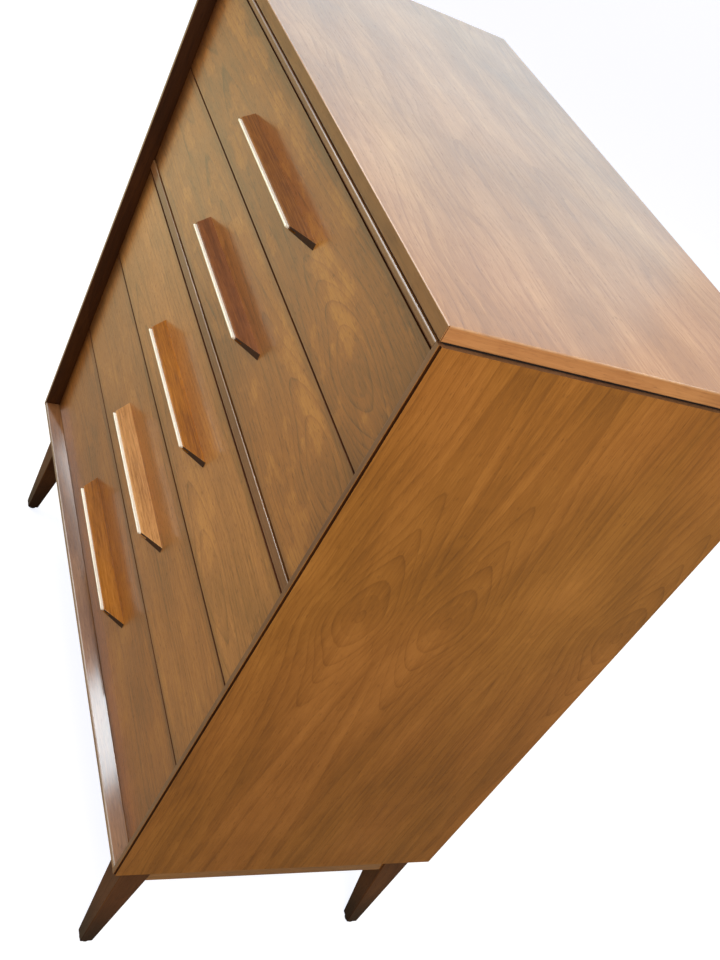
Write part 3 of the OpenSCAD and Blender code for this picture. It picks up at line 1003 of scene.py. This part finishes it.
FRONT_FIGURES = {
    1: FrontFigure(eye=0.34, above=-0.02, lean=0.5, cloud=0.24, paler=2),
    2: FrontFigure(eye=0.38, above=0.04, lean=0.4, cloud=0.2, paler=8, shade_inset=0.006),
    3: FrontFigure(eye=0.3, above=-0.05, lean=0.35, cloud=0.12, paler=23),
    4: FrontFigure(eye=0.5, above=0.09, lean=0.2, cloud=0.1, paler=13, shade_inset=0.006),
    5: FrontFigure(eye=0.1, above=0.11, lean=0.15, cloud=0.12, paler=0, shade_inset=-0.008),
}
FRONT_LIGHT, FRONT_MIDDLE, FRONT_DARK = (182, 119, 40), (147, 87, 24), (88, 50, 12)
OLD_BLUE = FRONT_DARK[2]  # the blue of the dark lines, which doesn't pale with age
PULL_STAINS = {
    1: ((158, 100, 36), (124, 74, 22), (74, 38, 12)),
    2: ((152, 92, 42), (120, 68, 26), (58, 28, 10)),
    3: ((196, 132, 44), (162, 100, 24), (106, 58, 14)),
    4: ((226, 174, 112), (194, 140, 82), (130, 86, 48)),
    5: ((188, 124, 48), (156, 96, 28), (94, 50, 14)),
}


@dataclass(frozen=True)
class Palette:
    """Every finish on the dresser, with the figure of the wood set out for each piece."""

    top: Wood = Wood(
        "top_veneer", **stain((188, 142, 92), (156, 108, 64), (124, 82, 48)), grain=Grain.TOP_LONG,
        shift=(0.0, -1.163, -0.05), leaf=0.28, eye=0.06, depth=0.02, lean=0.05, spacing=0.012, warp=0.05,
        leaf_weight=0.16, patch_weight=1.2, redden=0.2, specular=0.08, coat=0.85, coat_sheen=0.24,
    )
    top_arris: Wood = top.polished("top_arris")
    top_edge: Wood = Wood(
        "top_front_edge", **stain((142, 98, 50), (114, 74, 36), (72, 42, 18)), shift=(1.22, 0.3, 0.0),
        lean=0.03, coat=0.4,
    )
    top_side_edge: Wood = Wood(
        "top_side_edge", **stain((182, 126, 74), (152, 98, 52), (104, 60, 28)), grain=Grain.SIDE_LONG,
        shift=(-1.1, -0.5, 0.0), lean=0.03, specular=0.3, coat=0.1,
    )
    side_right: Wood = Wood(
        "side_veneer_right", grain=Grain.SIDE_UPRIGHT, shift=(0.0895, 0.4825, -0.783), leaf=0.19, eye=0.057,
        ring_weight=0.45, leaf_weight=0.1, streak_weight=1.0, redden=0.4, coat=0.14, coat_sheen=0.25,
    )
    side_left: Wood = replace(side_right, name="side_veneer_left", shift=(0.03, -0.4825, -0.62), eye=0.08)
    edging: Wood = Wood(
        "edging", **stain((138, 100, 66), (114, 78, 48), (80, 50, 28)), grain=Grain.FRONT_UPRIGHT,
        shift=(0.3, 0.2, 0.0), lean=0.05, coat=0.5,
    )
    # painted shade on the edges of the drawer fronts and under the rails, which darkens the gaps between
    # them
    gap_shade: Wood = Wood(
        "front_gap_shade", **stain((120, 74, 42), (86, 49, 27), (53, 28, 15)), shift=(0.3, 0.2, 0.0),
        lean=0.05, specular=0.1, coat=0.0, worn=0.0,
    )
    shaded: Wood = Wood(
        "shaded_edging", **stain((72, 38, 12), (54, 26, 8), (36, 15, 4)), pore=tint(28, 12, 4),
        grain=Grain.SIDE_UPRIGHT, shift=(0.3, 0.2, 0.0), lean=0.05, specular=0.1, coat=0.0,
    )
    rail: Wood = Wood(
        "rail_veneer", **stain((140, 96, 52), (116, 74, 36), (80, 48, 22)), shift=(0.2, 0.3, 0.0),
        lean=0.03, coat=0.6,
    )
    # the rails' polished upper arris, in a lighter colour that paints a highlight along it
    rail_arris: Wood = rail.polished("rail_arris", light=tint(168, 132, 92))
    ledge: Wood = Wood(
        "ledge_veneer", **stain((160, 112, 66), (124, 80, 42), (68, 38, 20)), grain=Grain.TOP_LONG,
        shift=(0.2, 0.3, 0.0), lean=0.03, patch_weight=1.4, coat_sheen=0.11, relief=0.6,
    )
    # the ledge's polished front arris, in a lighter colour laid on thicker, which paints a highlight line
    # along it
    ledge_arris_highlight: Wood = ledge.polished("ledge_arris_highlight", light=tint(146, 122, 98), worn=0.6)
    # the pulls' end grain, which takes stain darker, darkened further with painted shade
    shaded_end_grain: Wood = Wood(
        "pull_shaded_end_grain", **stain((70, 40, 22), (48, 26, 14), (30, 16, 9)), pore=tint(20, 10, 6),
        grain=Grain.SIDE_UPRIGHT, shift=(0.1, 0.1, 0.1), specular=0.2, coat=0.1, worn=0.15,
    )
    # the legs darken towards the floor with painted shade
    legs: Wood = Wood(
        "leg_wood", **stain((106, 66, 34), (84, 47, 23), (52, 27, 13)), grain=Grain.FRONT_UPRIGHT,
        shift=(0.3, 0.2, 0.0), lean=0.05, specular=0.1, coat=0.05, foot_fade=0.14,
    )
    base: Wood = Wood("base_wood", shift=(0.2, 0.1, 0.0), lean=0.03)
    base_side: Wood = replace(base, name="base_side_wood", grain=Grain.SIDE_LONG)
    shadow: Board = Board("shadow_board", tint(30, 18, 12), tint(16, 9, 6))
    back: Board = Board("back_board", tint(128, 92, 58), tint(86, 58, 34))
    drawer_board: Board = Board("drawer_board", tint(176, 140, 98), tint(132, 98, 62), sheen=0.6)
    strip: Metal = Metal("strip_metal", (0.95, 0.9, 0.77), (0.66, 0.6, 0.46), tarnish=0.12, metallic=0.4)
    screw: Metal = Metal("screw_steel", tint(196, 196, 194), tint(120, 116, 108), sheen=0.32)
    glide: Plastic = Plastic("glide_plastic")

    def box_wood(self, grain: Grain, name: str) -> Wood:
        """Mixes the pale waxed wood of the parts that are mostly hidden.

        Args:
            grain: how the grain lies.
            name: the finish's name.

        Returns:
            The finish.
        """
        return Wood(
            name, **stain((212, 178, 128), (190, 152, 102), (152, 112, 68)), pore=tint(120, 84, 50),
            grain=grain, shift=(0.2, 0.1, 0.0), lean=0.04, spacing=0.012, redden=0.2, pore_amount=0.2,
            sheen=0.5, specular=0.4, coat=0.0, worn=0.1,
        )

    def front(self, number: int) -> Wood:
        """Lays out the veneer of one drawer front, with its figure set out on that front.

        Args:
            number: the drawer's number, from the top.

        Returns:
            The finish.
        """
        low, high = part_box(f"drawer_{number}_front")
        figure = FRONT_FIGURES[number]
        light, middle, dark = (
            [channel + figure.paler for channel in tone] for tone in (FRONT_LIGHT, FRONT_MIDDLE, FRONT_DARK)
        )
        return Wood(
            f"front_veneer_{number}", **stain(light, middle, (*dark[:2], OLD_BLUE)),
            shift=((low.z + high.z) / 2 + figure.above, -low.y, -figure.eye), depth=0.012, lean=figure.lean,
            eye_length=0.04, taper=0.12, spacing=0.0075, warp=0.03, ring_weight=0.6,
            cloud_weight=figure.cloud, redden=0.1, pore_amount=0.8, coat=0.8, coat_sheen=0.2, relief=0.5,
            # painted shade round the front's rim and at its left corner
            rim=(low.x + figure.shade_inset, high.x, low.z, high.z),
        )

    def pull(self, number: int) -> Wood:
        """Picks the solid wood of one pull. No two came off the same board.

        Args:
            number: the drawer's number, from the top.

        Returns:
            The finish.
        """
        return Wood(
            f"pull_wood_{number}", **stain(*PULL_STAINS[number]), grain=Grain.TOP_LONG,
            shift=(0.13 * number - 1.0, 0.2, 0.3 * number), lean=0.04, spacing=0.006, warp=0.03,
            ring_weight=0.6, streak_weight=2.0, redden=0.0, specular=0.0, coat=0.6, coat_sheen=0.1,
        )


# ---- sub-assemblies


@dataclass
class TopAssembly:
    """The top panel, its solid edge bands and the set-back board under it."""

    palette: Palette
    round_over: float = 0.0016
    back_arris: float = 0.0008
    level: float = 0.97
    steep: float = 0.2
    forward: float = 0.5

    def build(self) -> None:
        """Makes and dresses the top."""
        panel = Workpiece.from_node("top_panel", "top_board")
        low, high = panel.limits()
        panel.chamfer(self.back_arris, lambda a, b: {Side.TOP, Side.BACK} <= shared(a, b, low, high))
        panel.dress(self.palette.top)
        panel.fit("case", "top_veneer", "top_panel")
        self._bands()
        dress_node("top_spacer", self.palette.shadow)

    def _bands(self) -> None:
        """Makes the mitred bands, whose upper faces carry the same veneer as the top."""
        bands = Workpiece.from_node("top_edge_bands", "top_bands")
        low, high = bands.limits()

        def outer(a: Vector, b: Vector) -> bool:
            """Whether an edge runs along the top's outline."""
            found = shared(a, b, low, high, NEAR)
            return bool(found & {Side.FRONT, Side.LEFT, Side.RIGHT}) and len(found) > 1

        bands.chamfer(self.round_over, outer, segments=3)
        bands.dress(self.palette.top_side_edge)
        bands.dress(self.palette.top, lambda middle, normal: normal.z >= self.level)
        bands.dress(self.palette.top_edge, lambda middle, normal: normal.y < -self.forward)
        bands.dress(self.palette.top_arris, lambda middle, normal: self.steep < normal.z < self.level)
        bands.fit("case", "solid_walnut", "top_edge_bands")


@dataclass
class CasePanels:
    """The two sides and the back of the case."""

    palette: Palette
    arris: float = 0.0007
    long_edge: float = 0.5
    front_depth: float = 0.004
    shade_width: float = 0.0026
    shade_depth: float = 0.0027
    tack_radius: float = 0.0036
    tack_height: float = 0.0008
    tack_pitch: float = 0.098
    tack_border: float = 0.012
    tack_inset: float = 0.004
    tack_lift: float = 0.006
    tack_dome: float = 0.6
    tack_flats: int = 16
    outside: float = 0.9
    inside: float = 0.6

    def build(self) -> None:
        """Makes and dresses the panels."""
        self._side("left")
        self._side("right")
        dress_node("back_panel", self.palette.back)
        self._tacks()

    def _side(self, hand: str) -> None:
        """Makes one side panel with eased front arrises.

        Args:
            hand: left or right.
        """
        node = f"side_panel_{hand}"
        panel = Workpiece.from_node(node, f"case_side_{hand}")
        low, high = panel.limits()
        if hand == "right":
            outward, outer_side, reach, veneer = 1.0, Side.RIGHT, high.x, self.palette.side_right
        else:
            outward, outer_side, reach, veneer = -1.0, Side.LEFT, -low.x, self.palette.side_left

        def upright_front(a: Vector, b: Vector) -> bool:
            """Whether an edge runs up the front of the panel."""
            return abs(a.z - b.z) > self.long_edge and max(a.y, b.y) < low.y + self.front_depth

        def outer_front(middle: Vector, normal: Vector) -> bool:
            """Whether a face lies in the front's outer corner, which gets painted shade."""
            outer = middle.x * outward > reach - self.shade_width
            return outer and middle.y < low.y + self.shade_depth

        panel.chamfer(self.arris, upright_front)
        panel.chamfer(self.arris, lambda a, b: {Side.BACK, outer_side} <= shared(a, b, low, high))
        panel.dress(self.palette.edging)
        panel.dress(veneer, lambda middle, normal: normal.x * outward > self.outside)
        # painted shade on the inner faces and in the outer front corner
        panel.dress(self.palette.shaded, lambda middle, normal: normal.x * outward < -self.inside)
        panel.dress(self.palette.shaded, outer_front)
        panel.fit("case", "case_veneer", node)

    def _tacks(self) -> None:
        """Sets round tacks along the edges of the back panel."""
        low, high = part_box("back_panel")
        tack = Workpiece.drum("back_tacks", self.tack_radius, self.tack_height, self.tack_flats)
        crest = self.tack_height * CREST
        tack.chamfer(self.tack_height * self.tack_dome, lambda a, b: min(a.z, b.z) > crest, worn=False)
        rows = round((high.z - low.z) / self.tack_pitch)
        columns = round((high.x - low.x) / self.tack_pitch)
        spots = []
        for step in range(rows + 1):
            z = low.z + self.tack_border + (high.z - low.z - 2 * self.tack_border) * step / rows
            spots += [(x, high.y, z) for x in (low.x + self.tack_inset, high.x - self.tack_inset)]
        for step in range(1, columns):
            x = low.x + (high.x - low.x) * step / columns
            spots.append((x, high.y, low.z + self.tack_lift))
        upright = Matrix.Rotation(-QUARTER, 4, "X")
        tacks = tack.set_out("back_tacks", [Matrix.Translation(spot) @ upright for spot in spots])
        tacks.dress(self.palette.screw)
        tacks.fit("case", "screw_steel")


@dataclass
class FrontFrame:
    """The rails and the ledge that frame the drawers."""

    palette: Palette
    arris: float = 0.0012
    top_round: float = 0.0028
    middle_round: float = 0.0009
    ledge_round: float = 0.0024
    front_depth: float = 0.023
    long_edge: float = 0.8
    smooth_below: float = 16.0
    upward: float = 0.1
    downward: float = 0.2

    def build(self) -> None:
        """Makes and dresses the rails and the ledge."""
        wood = self.palette
        self._rail("top_rails", "upper_rails", "front_veneer", self.top_round, wood.rail, wood.rail_arris)
        self._rail("mid_rail", "middle_rail", "front_veneer", self.middle_round, wood.rail, wood.rail_arris)
        self._rail(
            "bottom_panel", "bottom_ledge", "case_veneer", self.ledge_round, wood.ledge, wood.ledge_arris_highlight
        )

    def _rail(
        self, node: str, name: str, slot: str, upper_round: float, finish: Finish, polished: Finish
    ) -> None:
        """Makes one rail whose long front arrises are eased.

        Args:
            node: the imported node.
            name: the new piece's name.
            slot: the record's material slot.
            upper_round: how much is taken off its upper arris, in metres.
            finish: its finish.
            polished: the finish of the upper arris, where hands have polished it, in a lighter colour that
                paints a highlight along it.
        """
        rail = Workpiece.from_node(node, name)
        low = rail.limits()[0]
        reach = low.y + self.front_depth
        crown = max(vertex.co.z for vertex in rail.obj.data.vertices if vertex.co.y < low.y + NEAR)

        def long_front(a: Vector, b: Vector) -> bool:
            """Whether an edge runs the width of the case near its front."""
            return abs(a.x - b.x) > self.long_edge and max(a.y, b.y) < reach

        def upper_front(a: Vector, b: Vector) -> bool:
            """Whether an edge is the upper arris of the narrow front face."""
            return long_front(a, b) and min(a.z, b.z) > crown - NEAR and max(a.y, b.y) < low.y + NEAR

        def other_front(a: Vector, b: Vector) -> bool:
            """Whether an edge is another long one near the front."""
            return long_front(a, b) and abs((a.z + b.z) / 2 - crown) > 2 * upper_round

        rail.chamfer(upper_round, upper_front, segments=6)
        rail.chamfer(self.arris, other_front)
        rail.dress(finish)
        crest = low.y + upper_round
        rail.dress(polished, lambda middle, normal: normal.z > self.upward and middle.y < crest)
        # painted shade under the rail's front
        rail.dress(
            self.palette.gap_shade, lambda middle, normal: normal.z < -self.downward and middle.y < reach
        )
        rail.smooth_below = self.smooth_below
        rail.fit("case", slot, node)


@dataclass
class DrawerPart:
    """Anything that belongs to one drawer and moves with it."""

    palette: Palette
    number: int

    @property
    def body(self) -> str:
        """The body that it moves with, whose name also begins its nodes' names."""
        return f"drawer_{self.number}"


@dataclass
class Pull(DrawerPart):
    """A drawer's long wooden pull, the metal strip on its nose and its two screws."""

    arris: float = 0.001
    lip_gain: float = 0.0023
    clear_of_slot: float = 0.0052
    shortest_arris: float = 0.02
    strip_arris: float = 0.0005
    head_radius: float = 0.0045
    head_height: float = 0.003
    head_dome: float = 0.45
    head_flats: int = 32
    slot_length: float = 0.0108
    slot_width: float = 0.0012
    shank_radius: float = 0.002
    shank_flats: int = 24
    oblique: float = 0.6
    head_turns: tuple[tuple[int, float], ...] = ((-1, 0.4), (1, 1.3))

    def build(self) -> None:
        """Makes and dresses the pull."""
        self._wood()
        self._strip()
        self._screws()

    def _wood(self) -> None:
        """Brings the wood forward over the strip and eases its arrises, clear of the slot."""
        node = f"{self.body}_pull"
        wood = Workpiece.from_node(node, f"pull_{self.number}")
        low, high = wood.limits()
        for vertex in wood.obj.data.vertices:
            if vertex.co.y < low.y + NEAR:
                vertex.co.y -= self.lip_gain
                vertex.co.x -= math.copysign(self.lip_gain, vertex.co.x)

        def eased(a: Vector, b: Vector) -> bool:
            """Whether an edge is one that a hand meets."""
            below = max(a.z, b.z) < high.z - self.clear_of_slot and abs(a.x - b.x) > self.shortest_arris
            return min(a.y, b.y) <= high.y - NEAR and (min(a.z, b.z) > high.z - NEAR or below)

        wood.chamfer(self.arris, eased)
        wood.dress(self.palette.pull(self.number))
        # the mitred ends: end grain with painted shade
        wood.dress(self.palette.shaded_end_grain, lambda middle, normal: min(map(abs, normal.xy)) > self.oblique)
        wood.fit(self.body, "pull_wood", node)

    def _strip(self) -> None:
        """Brings the strip's lip forward with the wood and rounds the arrises that show."""
        node = f"{self.body}_pull_trim"
        strip = Workpiece.from_node(node, f"pull_strip_{self.number}")
        low = strip.limits()[0]
        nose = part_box(f"{self.body}_pull")[0].y
        for vertex in strip.obj.data.vertices:
            if abs(vertex.co.y - nose) < NEAR:
                vertex.co.y -= self.lip_gain
        strip.chamfer(self.strip_arris, lambda a, b: min(a.y, b.y) < low.y + NEAR, segments=3, worn=False)
        strip.dress(self.palette.strip)
        strip.fit(self.body, "strip_metal", node)

    def _screws(self) -> None:
        """Turns two slotted screws whose heads bear on the front's inner face."""
        node = f"{self.body}_pull_screws"
        low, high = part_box(node)
        seat = high.y - self.head_height
        screw = Workpiece.drum("screw_head", self.head_radius, self.head_height, self.head_flats)
        crest = self.head_height * CREST
        dome = self.head_height * self.head_dome
        screw.chamfer(dome, lambda a, b: min(a.z, b.z) > crest, segments=3, worn=False)
        slot = {"location": (0, 0, self.head_height), "scale": (self.slot_length, *[self.slot_width] * 2)}
        screw.cut(Workpiece.shaped("slot", bpy.ops.mesh.primitive_cube_add, size=1.0, **slot))
        reach = seat - low.y
        screw.join([Workpiece.drum("screw_shank", self.shank_radius, reach, self.shank_flats, -reach)])
        inward = Matrix.Rotation(-QUARTER, 4, "X")
        changes = []
        for side, turn in self.head_turns:
            place = Matrix.Translation(((high.x - self.head_radius) * side, seat, (low.z + high.z) / 2))
            changes.append(place @ inward @ Matrix.Rotation(turn + self.number, 4, "Z"))
        screws = screw.set_out(f"pull_screws_{self.number}", changes)
        screws.dress(self.palette.screw)
        screws.fit(self.body, "screw_steel", node)


@dataclass
class Drawer(DrawerPart):
    """One drawer: its front, its dovetailed box and its pull."""

    arris: float = 0.001
    rim_round: float = 0.0015
    long_edge: float = 0.2
    forward: float = 0.3
    upward: float = 0.3
    level: float = 0.9

    def build(self) -> None:
        """Makes and dresses the drawer."""
        self._front()
        self._box()
        Pull(self.palette, self.number).build()

    def _front(self) -> None:
        """Eases the front's outline. Its veneer covers the face only."""
        node = f"{self.body}_front"
        front = Workpiece.from_node(node, f"front_{self.number}")
        low, high = front.limits()

        def outline(a: Vector, b: Vector) -> bool:
            """Whether an edge lies on the outline of the face."""
            found = shared(a, b, low, high)
            return Side.FRONT in found and len(found) > 1

        front.chamfer(self.arris, outline)
        front.dress(self.palette.box_wood(Grain.FRONT_LONG, "front_core"))
        front.dress(self.palette.front(self.number), lambda middle, normal: normal.y < -self.forward)
        edge = self.palette.gap_shade
        rim = low.y + self.arris
        # painted shade on the front's top and bottom edges and its upper arris, which darkens the gaps
        front.dress(edge, lambda middle, normal: abs(normal.z) > self.level and middle.y < high.y)
        front.dress(edge, lambda middle, normal: normal.z > self.upward and middle.y < rim)
        front.fit(self.body, "front_veneer", node)

    def _box(self) -> None:
        """Rounds the rims of the sides and dresses the back and the bottom."""
        for hand in ("left", "right"):
            node = f"{self.body}_side_{hand}"
            side = Workpiece.from_node(node, f"box_side_{self.number}_{hand}")
            top = side.limits()[1].z

            def rim(a: Vector, b: Vector, top: float = top) -> bool:
                """Whether an edge runs along the top of the board."""
                return min(a.z, b.z) > top - CLOSE and abs(a.y - b.y) > self.long_edge

            side.chamfer(self.rim_round, rim, segments=3)
            side.dress(self.palette.box_wood(Grain.SIDE_LONG, "box_side_wood"))
            side.fit(self.body, "box_wood", node)
        dress_node(f"{self.body}_back", self.palette.box_wood(Grain.FRONT_LONG, "box_back_wood"))
        dress_node(f"{self.body}_bottom", self.palette.drawer_board)


@dataclass
class BaseFrame:
    """The rails, braces, tapered legs and glides that carry the case."""

    palette: Palette
    leg_arris: float = 0.0016
    leg_edge: float = 0.15
    foot_edge: float = 0.01
    rail_arris: float = 0.001
    rail_edge: float = 0.1

    def build(self) -> None:
        """Makes and dresses the base."""
        for end in ("front", "back"):
            for hand in ("left", "right"):
                self._leg(f"leg_{end}_{hand}")
        self._rail("base_rail_front", "apron_front", self.palette.base)
        self._rail("base_rail_back", "apron_back", self.palette.base)
        self._rail("base_rails_side", "aprons_side", self.palette.base_side)
        dress_node("base_corner_braces", self.palette.box_wood(Grain.FRONT_LONG, "brace_wood"))
        dress_node("foot_glides", self.palette.glide)

    def _leg(self, node: str) -> None:
        """Rounds a leg's four long arrises and the edge of its foot.

        Args:
            node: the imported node.
        """
        leg = Workpiece.from_node(node, f"tapered_{node}")
        foot = leg.limits()[0].z + CLOSE

        def outer(a: Vector, b: Vector) -> bool:
            """Whether an edge runs down the leg or round its foot."""
            at_foot = max(a.z, b.z) < foot and (a - b).length > self.foot_edge
            return abs(a.z - b.z) > self.leg_edge or at_foot

        leg.chamfer(self.leg_arris, outer, segments=3)
        leg.dress(self.palette.legs)
        leg.fit("case", "leg_wood", node)

    def _rail(self, node: str, name: str, finish: Finish) -> None:
        """Eases the lower arrises of a base rail.

        Args:
            node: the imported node.
            name: the new piece's name.
            finish: its finish.
        """
        rail = Workpiece.from_node(node, name)
        under = rail.limits()[0].z + CLOSE
        rail.chamfer(self.rail_arris, lambda a, b: max(a.z, b.z) < under and (a - b).length > self.rail_edge)
        rail.dress(finish)
        rail.fit("case", "solid_walnut", node)


@dataclass
class HiddenFittings:
    """Runners and their screws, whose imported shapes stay."""

    palette: Palette

    def build(self) -> None:
        """Dresses the fittings."""
        dress_node("drawer_runners", self.palette.box_wood(Grain.SIDE_LONG, "runner_wood"))
        dress_node("runner_screws", self.palette.screw)


# ---- studio


@dataclass(frozen=True)
class Lamp:
    """One soft square lamp and the point that it faces."""

    name: str
    place: tuple[float, float, float]
    aim: tuple[float, float, float]
    size: float
    power: float
    colour: Colour = (1.0, 1.0, 1.0)

    def hang(self) -> None:
        """Hangs the lamp, which lights the dresser and isn't seen itself."""
        data = bpy.data.lights.new(self.name, "AREA")
        data.shape = "SQUARE"
        data.size = self.size
        data.energy = self.power
        data.color = self.colour
        hung = place_in_scene(self.name, data)
        hung.location = self.place
        hung.rotation_euler = (Vector(self.aim) - Vector(self.place)).to_track_quat("-Z", "Y").to_euler()
        hung.visible_camera = False
        LOG.info("lamp %s at %s", self.name, self.place)


@dataclass
class Studio:
    """A pale floor, soft light and the camera.

    The floor is one colour near the dresser and another farther off: near it the colour is a painted
    shadow, and farther off the floor glows in polished surfaces, a painted reflection. What it gives back to
    the eye, and what polished surfaces mirror of it, is set apart from what it scatters.
    """

    floor_width: float = 28.0
    near_reach: float = 0.7
    far_reach: float = 2.5
    # painted shadow of the dresser on the floor near it
    near_shadow_paint: Colour = (0.43, 0.36, 0.23)
    near_lift: Colour = (0.79, 0.83, 0.94)
    far_paint: Colour = (0.54, 0.505, 0.36)
    far_lift: Colour = (0.7, 0.72, 0.86)
    far_reflected_glow: Colour = (0.46, 0.4, 0.18)
    black: Colour = (0.0, 0.0, 0.0)
    white: Colour = (1.0, 1.0, 1.0)
    warm_air: Colour = (1.0, 0.985, 0.965)
    ambient: float = 0.42
    eye: tuple[float, float, float] = (1.18826, -0.78192, 1.56669)
    turn: tuple[float, float, float] = (0.909267, -0.452056, 1.254004)
    lens: float = 41.886
    sensor: float = 36.0
    nearest: float = 0.02
    shift: tuple[float, float] = (0.0029, -0.0042)
    lamps: tuple[Lamp, ...] = (
        Lamp("key", (-2.2, -2.6, 2.2), (-0.2, 0.0, 0.6), 2.2, 48.0),
        Lamp("left_window", (-2.4, -0.35, 2.65), (0.0, -0.1, 0.9), 0.9, 20.0),
        Lamp("spark", (-1.15, -0.83, 2.35), (0.26, -0.25, 0.25), 0.34, 6.4, (0.86, 0.95, 1.0)),
        Lamp("hair", (0.17, 1.73, 2.94), (0.48, 0.0, 1.16), 0.4, 4.0),
        Lamp("overhead", (-0.4, 0.4, 3.4), (0.0, 0.0, 0.8), 2.4, 8.0),
        Lamp("side_fill", (1.6, -0.5, 2.2), (0.3, 0.0, 0.9), 1.0, 35.0),
        Lamp("cool_window", (-3.6, 2.0, 1.85), (0.0, 0.0, 1.1), 3.0, 18.0, (0.1, 0.72, 1.0)),
    )

    def build(self) -> None:
        """Sets up the studio."""
        self._floor()
        self._world()
        for lamp in self.lamps:
            lamp.hang()
        self._camera()
        bpy.context.scene.view_settings.view_transform = "Standard"

    def _floor(self) -> None:
        """Lays the floor, which keeps the dresser's soft shadow."""
        floor = Workpiece.shaped("floor", bpy.ops.mesh.primitive_plane_add, size=self.floor_width).obj
        material = bpy.data.materials.new("floor_paint")
        material.use_nodes = True
        shader = material.node_tree.nodes["Principled BSDF"]
        shader.inputs["Roughness"].default_value = 0.7
        shader.inputs["Specular IOR Level"].default_value = 0.1
        shader.inputs["Emission Strength"].default_value = 1.0
        wiring = Wiring(material.node_tree)
        rays = wiring.add("ShaderNodeLightPath").outputs
        reach = wiring.add("ShaderNodeVectorMath", {0: wiring.place()}, operation="LENGTH").outputs["Value"]
        beyond = wiring.remap(reach, self.near_reach, self.far_reach)
        wiring.feed(shader.inputs["Base Color"], wiring.blend(beyond, self.near_shadow_paint, self.far_paint))
        # painted reflection: the far floor glows, but only in polished surfaces
        reflected_glow = wiring.blend(wiring.times(rays["Is Glossy Ray"], beyond), self.black, self.far_reflected_glow)
        lift = wiring.blend(beyond, self.near_lift, self.far_lift)
        wiring.feed(shader.inputs["Emission Color"], wiring.blend(rays["Is Camera Ray"], reflected_glow, lift))
        floor.data.materials.append(material)

    def _world(self) -> None:
        """Lights all round evenly, and shows white to the eye and in polished surfaces."""
        world = bpy.data.worlds.new("studio_air")
        world.use_nodes = True
        bpy.context.scene.world = world
        wiring = Wiring(world.node_tree)
        air = world.node_tree.nodes["Background"]
        rays = wiring.add("ShaderNodeLightPath").outputs
        seen = wiring.math("MAXIMUM", rays["Is Camera Ray"], rays["Is Glossy Ray"])
        seen = wiring.math("MAXIMUM", seen, rays["Is Transmission Ray"])
        wiring.feed(air.inputs["Color"], wiring.blend(seen, self.warm_air, self.white))
        wiring.feed(air.inputs["Strength"], wiring.weigh(seen, 1.0 - self.ambient, self.ambient))

    def _camera(self) -> None:
        """Places the camera."""
        data = bpy.data.cameras.new("camera")
        data.lens = self.lens
        data.sensor_width = self.sensor
        data.shift_x, data.shift_y = self.shift
        data.clip_start = self.nearest
        camera = place_in_scene("camera", data)
        camera.location = self.eye
        camera.rotation_euler = self.turn
        bpy.context.scene.camera = camera


def main() -> None:
    """Builds the dresser's looks and the studio."""
    logging.basicConfig(level=logging.INFO, format="%(name)s: %(message)s")
    Studio().build()
    palette = Palette()
    for assembly in (TopAssembly, CasePanels, FrontFrame):
        assembly(palette).build()
    for number in DRAWER_NUMBERS:
        Drawer(palette, number).build()
    for assembly in (BaseFrame, HiddenFittings):
        assembly(palette).build()


if __name__ == "__main__":
    main()
